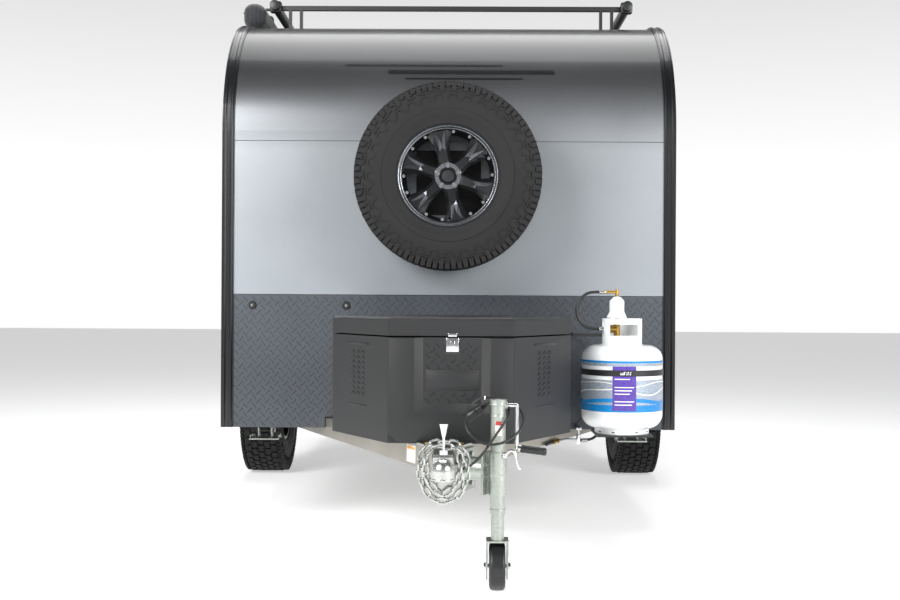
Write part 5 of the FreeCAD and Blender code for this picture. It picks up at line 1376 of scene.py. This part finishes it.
def roundRing(y0, y1, z0, z1, radius, steps=8):  # a rounded rectangle's points as (along, height)
    points = []
    for cy, cz, first in (
        (y1 - radius, z1 - radius, 0), (y0 + radius, z1 - radius, 90), (y0 + radius, z0 + radius, 180),
        (y1 - radius, z0 + radius, 270),
    ):
        for k in range(steps + 1):
            a = math.radians(first + 90 * k / steps)
            points.append((cy + radius * math.cos(a), cz + radius * math.sin(a)))
    return points


def doorFittings(side):
    name, sign = ("left", -1) if side < 0 else ("right", 1)
    body = f"door_{name}"
    low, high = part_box(body)
    glassLow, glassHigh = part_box(f"door_glass_{name}")
    face = sign * max(abs(low[0]), abs(high[0]))
    edge = [
        (face, y, z) for y, z in roundRing(low[1] + 0.004, high[1] - 0.004, low[2] + 0.004, high[2] - 0.004, 0.052)
    ]
    addPiece(body + "Bead", tubeMesh(edge, door["bead"], closed=True, smoothLine=False), "trim", body)
    pane = [
        (face, y, z)
        for y, z in roundRing(
            glassLow[1] - 0.006, glassHigh[1] + 0.006, glassLow[2] - 0.006, glassHigh[2] + 0.006, 0.054
        )
    ]
    addPiece(
        body + "WindowFrame", tubeMesh(pane, door["frame"], closed=True, smoothLine=False), "trim", body
    )

    def escutcheon(shape):  # the handle's escutcheon and dead bolt, behind the opening edge
        boxInto(shape, (face - 0.002, high[1] - 0.155, 1.045), (face + sign * 0.007, high[1] - 0.035, 1.165), 0.003)
        discInto(shape, (face + sign * 0.004, high[1] - 0.095, 1.205), (1, 0, 0), 0.019, 0.012, 32, soft=0.002)

    def paddle(shape):
        boxInto(
            shape, (face + sign * 0.006, high[1] - 0.145, 1.085), (face + sign * 0.016, high[1] - 0.060, 1.120), 0.004
        )
        discInto(shape, (face + sign * 0.009, high[1] - 0.055, 1.102), (1, 0, 0), 0.008, 0.006, 24)

    addPiece(body + "Escutcheon", meshOf(escutcheon), "smooth", body)
    addPiece(body + "Handle", meshOf(paddle), "bright", body)

    def leaves(shape):
        for z in door["hinges"]:
            boxInto(
                shape, (face - 0.001, low[1] + 0.010, z - 0.038), (face + sign * 0.0035, low[1] + 0.055, z + 0.038),
                0.001,
            )
            for dz in (-0.024, 0.024):
                discInto(shape, (face + sign * 0.0045, low[1] + 0.036, z + dz), (1, 0, 0), 0.005, 0.003, 16)

    def knuckles(shape):
        for z in door["hinges"]:
            discInto(
                shape, (face + sign * 0.0015, low[1] - 0.002, z), (0, 0, 1), 0.0062, door["hingeLong"], 20, soft=0.001
            )

    addPiece(body + "HingeLeaves", meshOf(leaves), "steel", body)
    addPiece(body + "HingeKnuckles", meshOf(knuckles), "steel")


for side in (-1, 1):
    doorFittings(side)


def grabHandles(shape):  # one behind each door
    for side in (-1, 1):
        x = side * (sideX + 0.034)
        boxInto(shape, (min(x - 0.009, x + 0.009), 0.118, 1.00), (max(x - 0.009, x + 0.009), 0.136, 1.30), 0.006)
        for z in (1.01, 1.29):
            boxInto(shape, (min(side * sideX, x), 0.116, z - 0.012), (max(side * sideX, x), 0.138, z + 0.012), 0.004)


addPiece("grabHandles", meshOf(grabHandles), "smooth")

# Rear: hatch seal, handle, locks and hinge, blank plate and lamps

hatchLow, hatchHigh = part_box("rear_hatch")
ring = [
    (x, hatchHigh[1] - 0.001, z)
    for x, z in roundRing(hatchLow[0] + 0.004, hatchHigh[0] - 0.004, hatchLow[2] + 0.006, hatchHigh[2] - 0.02, 0.02)
]
addPiece("hatchBead", tubeMesh(ring, 0.005, closed=True, smoothLine=False), "trim", "rear_hatch")


def hatchHandle(shape):
    boxInto(shape, (-0.11, rearY - 0.001, 1.075), (0.11, rearY + 0.007, 1.145), 0.003)
    boxInto(shape, (-0.085, rearY + 0.006, 1.094), (0.085, rearY + 0.018, 1.122), 0.005)


addPiece("hatchHandle", meshOf(hatchHandle), "smooth", "rear_hatch")


def hatchLocks(shape):
    for x in (-0.098, 0.098):
        discInto(shape, (x, rearY + 0.007, 1.110), (0, 1, 0), 0.010, 0.012, 28, soft=0.001)


addPiece("hatchLocks", meshOf(hatchLocks), "bright", "rear_hatch")


def hatchHinge(shape):
    for x in (-0.6, -0.2, 0.2, 0.6):
        discInto(shape, (x, rearY + 0.003, hatchHigh[2] + 0.002), (1, 0, 0), 0.006, 0.11, 20)


addPiece("hatchHinge", meshOf(hatchHinge), "steel")


plates = {  # half width, low, high, back and front off the rear wall, soft edge, coat, slot
    "plateHolder": (0.155, 0.660, 0.815, -0.001, 0.004, 0.002, "smooth", "black_plastic"),
    "blankPlate": (0.150, 0.664, 0.811, 0.003, 0.006, 0.001, "paper", "mill_aluminium"),
}


def plateMesh(half, low, high, back, front, edge):
    return meshOf(lambda shape: boxInto(shape, (-half, rearY + back, low), (half, rearY + front, high), edge))


for name, (*sizes, coat, slot) in plates.items():
    addPiece(name, plateMesh(*sizes), coat)
lamp = {
    "inner": 0.636, "outer": 0.834, "low": 0.816, "high": 0.914, "wall": 0.008,
    "divider": (0.730, 0.736, 0.820, 0.910),
}


def lampFrames(shape):  # housings round the tail lamps, and the plate light
    inner, outer, low, high, wall = (lamp[key] for key in ("inner", "outer", "low", "high", "wall"))
    bars = [
        (inner, inner + wall, low, high), (outer - wall, outer, low, high), (inner, outer, low, low + wall),
        (inner, outer, high - wall, high), lamp["divider"],
    ]
    for side in (-1, 1):
        for x0, x1, z0, z1 in bars:
            xs = sorted((side * x0, side * x1))
            boxInto(shape, (xs[0], rearY - 0.001, z0), (xs[1], rearY + 0.0265, z1), 0.002)
    boxInto(shape, (-0.04, rearY, 0.825), (0.04, rearY + 0.022, 0.848), 0.004)


addPiece("lampFrames", meshOf(lampFrames), "smooth")


def lensRibs(shape):
    for side in (-1, 1):
        for k in range(7):
            x = side * (0.652 + 0.0115 * k)
            boxInto(shape, (x - 0.002, rearY + 0.0225, 0.826), (x + 0.002, rearY + 0.0255, 0.904), 0.001)


addPiece("lensRibs", meshOf(lensRibs), "red")


def amberLens(shape):
    for side in (-1, 1):
        xs = sorted((side * 0.738, side * 0.824))
        boxInto(shape, (xs[0], rearY + 0.001, 0.826), (xs[1], rearY + 0.0252, 0.904), 0.002)
        ys = (-0.9195, -0.8885)
        xs = sorted((side * (sideX + 0.001), side * (sideX + 0.0148)))
        boxInto(shape, (xs[0], ys[0], 0.8095), (xs[1], ys[1], 0.9095), 0.003)


addPiece("amberLenses", meshOf(amberLens), "amber")
print("doors and hatch fitted")

# Roof rack: caps, clamps and bolts; roof vent ribs

rackLow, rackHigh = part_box("roof_rack")
rack = {"rail": 0.785, "posts": (-0.44, 0.60, 1.60), "height": 2.240, "feet": (0.6705, 0.7195)}


def rackCaps(shape):
    for side in (-1, 1):
        for y, way in ((rackLow[1], -1), (rackHigh[1], 1)):
            discInto(
                shape, (side * rack["rail"], y - way * 0.004, rack["height"]), (0, 1, 0), 0.0222, 0.012, 36,
                soft=0.002,
            )
        for y in rack["posts"]:
            boxInto(
                shape, (side * rack["rail"] - 0.026, y - 0.019, 2.214),
                (side * rack["rail"] + 0.026, y + 0.019, 2.2645), 0.008,
            )


addPiece("rackCaps", meshOf(rackCaps), "smooth")


def rackBolts(shape):
    for y in rack["posts"]:
        for side in (-1, 1):
            discInto(shape, (side * rack["rail"], y, 2.2625), (0, 0, 1), 0.006, 0.006, 6)
            for x in rack["feet"]:
                discInto(shape, (side * x, y - 0.012, 2.137), (0, 0, 1), 0.0055, 0.006, 6)


addPiece("rackBolts", meshOf(rackBolts), "bright", smooth=False)


def ventRibs(shape):
    low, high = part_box("vent_lid")
    for k in range(5):
        x = -0.14 + 0.07 * k
        boxInto(
            shape, (x - 0.008, low[1] + 0.03, high[2] - 0.001), (x + 0.008, high[1] - 0.03, high[2] + 0.004), 0.002
        )


addPiece("ventRibs", meshOf(ventRibs), "white", "vent_lid")

# Stabiliser feet with turned-up ends, and pivot nuts

for end in ("front", "rear"):
    for side, sign in (("left", -1), ("right", 1)):
        body = f"stabiliser_foot_{end}_{side}"
        low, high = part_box(body)
        middle = (low[1] + high[1]) / 2

        def toes(shape, low=low, high=high, middle=middle):
            for x, way in ((low[0], -1), (high[0], 1)):
                a, b = sorted((x, x - way * 0.004))
                boxInto(shape, (a, middle - 0.030, low[2]), (b, middle + 0.030, low[2] + 0.018), 0.001)
                a, b = sorted((x - way * 0.012, x - way * 0.018))
                discInto(shape, ((a + b) / 2, middle, low[2] + 0.012), (0, 0, 1), 0.005, 0.016, 6, 0.002)

        addPiece(body + "Toes", meshOf(toes), "galvanised", body, False)

        def pivot(shape, low=low, high=high, middle=middle, sign=sign):
            for x in (0.78 * sign - 0.0365, 0.78 * sign + 0.0365):
                discInto(shape, (x, middle, low[2] + 0.035), (1, 0, 0), 0.0105, 0.007, 6)

        addPiece(body + "Nuts", meshOf(pivot), "bright", body, False)

# Bolts seen from below, bumper caps and the fenders' tread bars


def underBolts(shape):
    for side in (-1, 1):
        for y in (0.615, 0.735):
            for z in (0.449, 0.531):
                discInto(shape, (side * 0.80, y, z - 0.001), (0, 0, 1), 0.009, 0.008, 6)
        for ahead in (-0.30, -0.10):
            x, y, _ = onDrawbar(side, ahead, 0, -0.025)
            discInto(shape, (x, y, 0.3745), (0, 0, 1), 0.009, 0.007, 6)


addPiece("underBolts", meshOf(underBolts), "zinc", smooth=False)


def bumperCaps(shape):
    for side in (-1, 1):
        xs = sorted((side * 0.776, side * 0.784))
        boxInto(shape, (xs[0], 2.117, 0.434), (xs[1], 2.183, 0.526), 0.003)


addPiece("bumperCaps", meshOf(bumperCaps), "smooth")


def fenderBars():
    spots = []
    for side in (-1, 1):
        for i in range(9):
            for j in range(24):
                if (i + j) % 2:
                    continue
                x, y = side * (0.925 + 0.0195 * i), 0.675 - 0.215 + 0.018 * j
                turn = Euler((0, 0, math.radians(45 if i % 2 else -45)))
                spots.append(((x, y, 0.800), tuple(turn)))
    return spots


addPiece("fenderTreadBars", placed(barMesh(), fenderBars(), "plate", 0.9), "plate", smooth=False)
print("roof, feet and underside fitted")

# Soft goods: the mattress and the awning's bag

soft = {
    "mattress": {"edge": 0.035, "crown": 0.016, "pull": 0.006, "crease": 0.0018, "cuts": 70, "fill": 0.75},
    "bag": {"edge": 0.045, "crown": 0.004, "pull": 0.002, "crease": 0.0035, "cuts": 90, "fill": 0.55},
}


def stuffedMesh(low, high, facts, tufts=None):
    low, high = Vector(low), Vector(high)
    middle, half = (low + high) / 2, (high - low) / 2
    edge = min(facts["edge"], min(half) * 0.98)

    def build(shape):
        bmesh.ops.create_cube(shape, size=2)
        bmesh.ops.subdivide_edges(
            shape, edges=shape.edges[:], cuts=facts["cuts"], use_grid_fill=True
        )
        for vert in shape.verts:
            u, v, w = vert.co
            point = Vector((u * half.x, v * half.y, w * half.z))
            inner = Vector([max(-h + edge, min(h - edge, q)) for q, h in zip(point, half)])
            off = point - inner
            if off.length > 0:
                point = inner + off.normalized() * edge
            swell = max(0.0, (1 - u**4) * (1 - v**4))
            rise = facts["crown"] * (swell - 1) if w > 0 else 0
            point.z += rise * max(0.0, w)
            point.x -= math.copysign(facts["pull"] * (1 - (w * w)) * (1 - v * v), u) * abs(u) ** 6
            fold = noise.noise(Vector((point.x * 9, point.y * 4, point.z * 14)))
            point -= point.normalized() * facts["crease"] * (0.5 + 0.5 * fold)
            if tufts and w > 0.9:
                for tx, ty in tufts:
                    gap = math.hypot(point.x - tx, point.y - ty)
                    point.z -= 0.010 * math.exp(-((gap / 0.045) ** 2))
            vert.co = middle + point
        bmesh.ops.recalc_face_normals(shape, faces=shape.faces)

    return meshOf(build)


low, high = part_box("mattress")
tufts = [(x, y) for x in (-0.52, -0.17, 0.17, 0.52) for y in (-0.75, -0.375, 0.0, 0.375, 0.75)]
bed = addPiece(
    "mattressCover", stuffedMesh(low, high, soft["mattress"], tufts), "ticking",
    replaces=("mattress",),
)
for name, z in (("Low", low[2] + 0.022), ("High", high[2] - 0.030)):
    piping = [
        (x, y, z) for x, y in roundRing(low[0] + 0.008, high[0] - 0.008, low[1] + 0.008, high[1] - 0.008, 0.035)
    ]
    addPiece(
        "mattressPiping" + name, tubeMesh(piping, 0.004, closed=True, smoothLine=False), "canvas",
    )
low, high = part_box("awning_bag")
bag = addPiece(
    "awningBagCover", stuffedMesh(low, high, soft["bag"]), "canvas", replaces=("awning_bag",)
)


def bagStraps(shape):
    for y in (-0.22, 0.40, 1.00, 1.50):
        boxInto(
            shape, (low[0] - 0.001, y - 0.019, low[2] + 0.004), (high[0] + 0.001, y + 0.019, high[2] - 0.004), 0.036
        )


addPiece("bagStraps", meshOf(bagStraps), "canvas")
seam = [(low[0] + 0.002, y, (low[2] + high[2]) / 2 + 0.012) for y in (low[1] + 0.04, 0.2, 0.7, 1.2, high[1] - 0.04)]
addPiece("bagZip", tubeMesh(seam, 0.004), "smooth")
print("soft goods made")

# Floor, light and background

stage = {"floor": 60.0, "glow": 0.46, "world": 1.0, "ahead": 0.42, "key": 420, "fill": 260, "top": 260}
bpy.ops.mesh.primitive_plane_add(size=stage["floor"])
ground = bpy.context.object
ground.name = "floor"
paper, _, paperShader = newMaterial("paleFloor")
paperShader.inputs["Base Color"].default_value = linear("#f4f4f4")
paperShader.inputs["Roughness"].default_value = 0.9
paperShader.inputs["Emission Color"].default_value = (1, 1, 1, 1)
paperShader.inputs["Emission Strength"].default_value = stage["glow"]
ground.data.materials.append(paper)
world = bpy.data.worlds.new("studio")
bpy.context.scene.world = world
world.use_nodes = True
sky = world.node_tree
away = addNode(sky, "ShaderNodeTexCoord")
split = addNode(sky, "ShaderNodeSeparateXYZ", links={0: away.outputs["Generated"]})
shade = addNode(sky, "ShaderNodeValToRGB", links={"Fac": split.outputs["Z"]})
shade.color_ramp.elements[0].color = (1, 1, 1, 1)
shade.color_ramp.elements[0].position = 0.12
shade.color_ramp.elements[1].color = (0.10, 0.10, 0.11, 1)
shade.color_ramp.elements[1].position = 0.62
ahead = addNode(
    sky, "ShaderNodeMapRange", values={"From Min": -0.35, "From Max": 0.35, "To Min": stage["ahead"], "To Max": 1.0},
    links={"Value": split.outputs["Y"]},
)
dim = addNode(sky, "ShaderNodeMix", {"data_type": "RGBA", "blend_type": "MULTIPLY"}, {0: 1.0})
sky.links.new(shade.outputs[0], dim.inputs[6])
sky.links.new(ahead.outputs[0], dim.inputs[7])
sky.links.new(dim.outputs[2], sky.nodes["Background"].inputs["Color"])
sky.nodes["Background"].inputs["Strength"].default_value = stage["world"]
for name, place, size, power in (
    ("keyLight", (-3.4, -5.5, 3.6), 2.6, stage["key"]),
    ("fillLight", (3.8, -5.0, 2.4), 2.2, stage["fill"]),
    ("topLight", (0.0, 0.5, 6.0), 4.0, stage["top"]),
):
    light = bpy.data.lights.new(name, "AREA")
    light.size = size
    light.energy = power
    holder = bpy.data.objects.new(name, light)
    bpy.context.collection.objects.link(holder)
    holder.location = place
    holder.rotation_euler = (Vector((0, -0.8, 0.9)) - Vector(place)).to_track_quat("-Z", "Y").to_euler()
print("stage set")
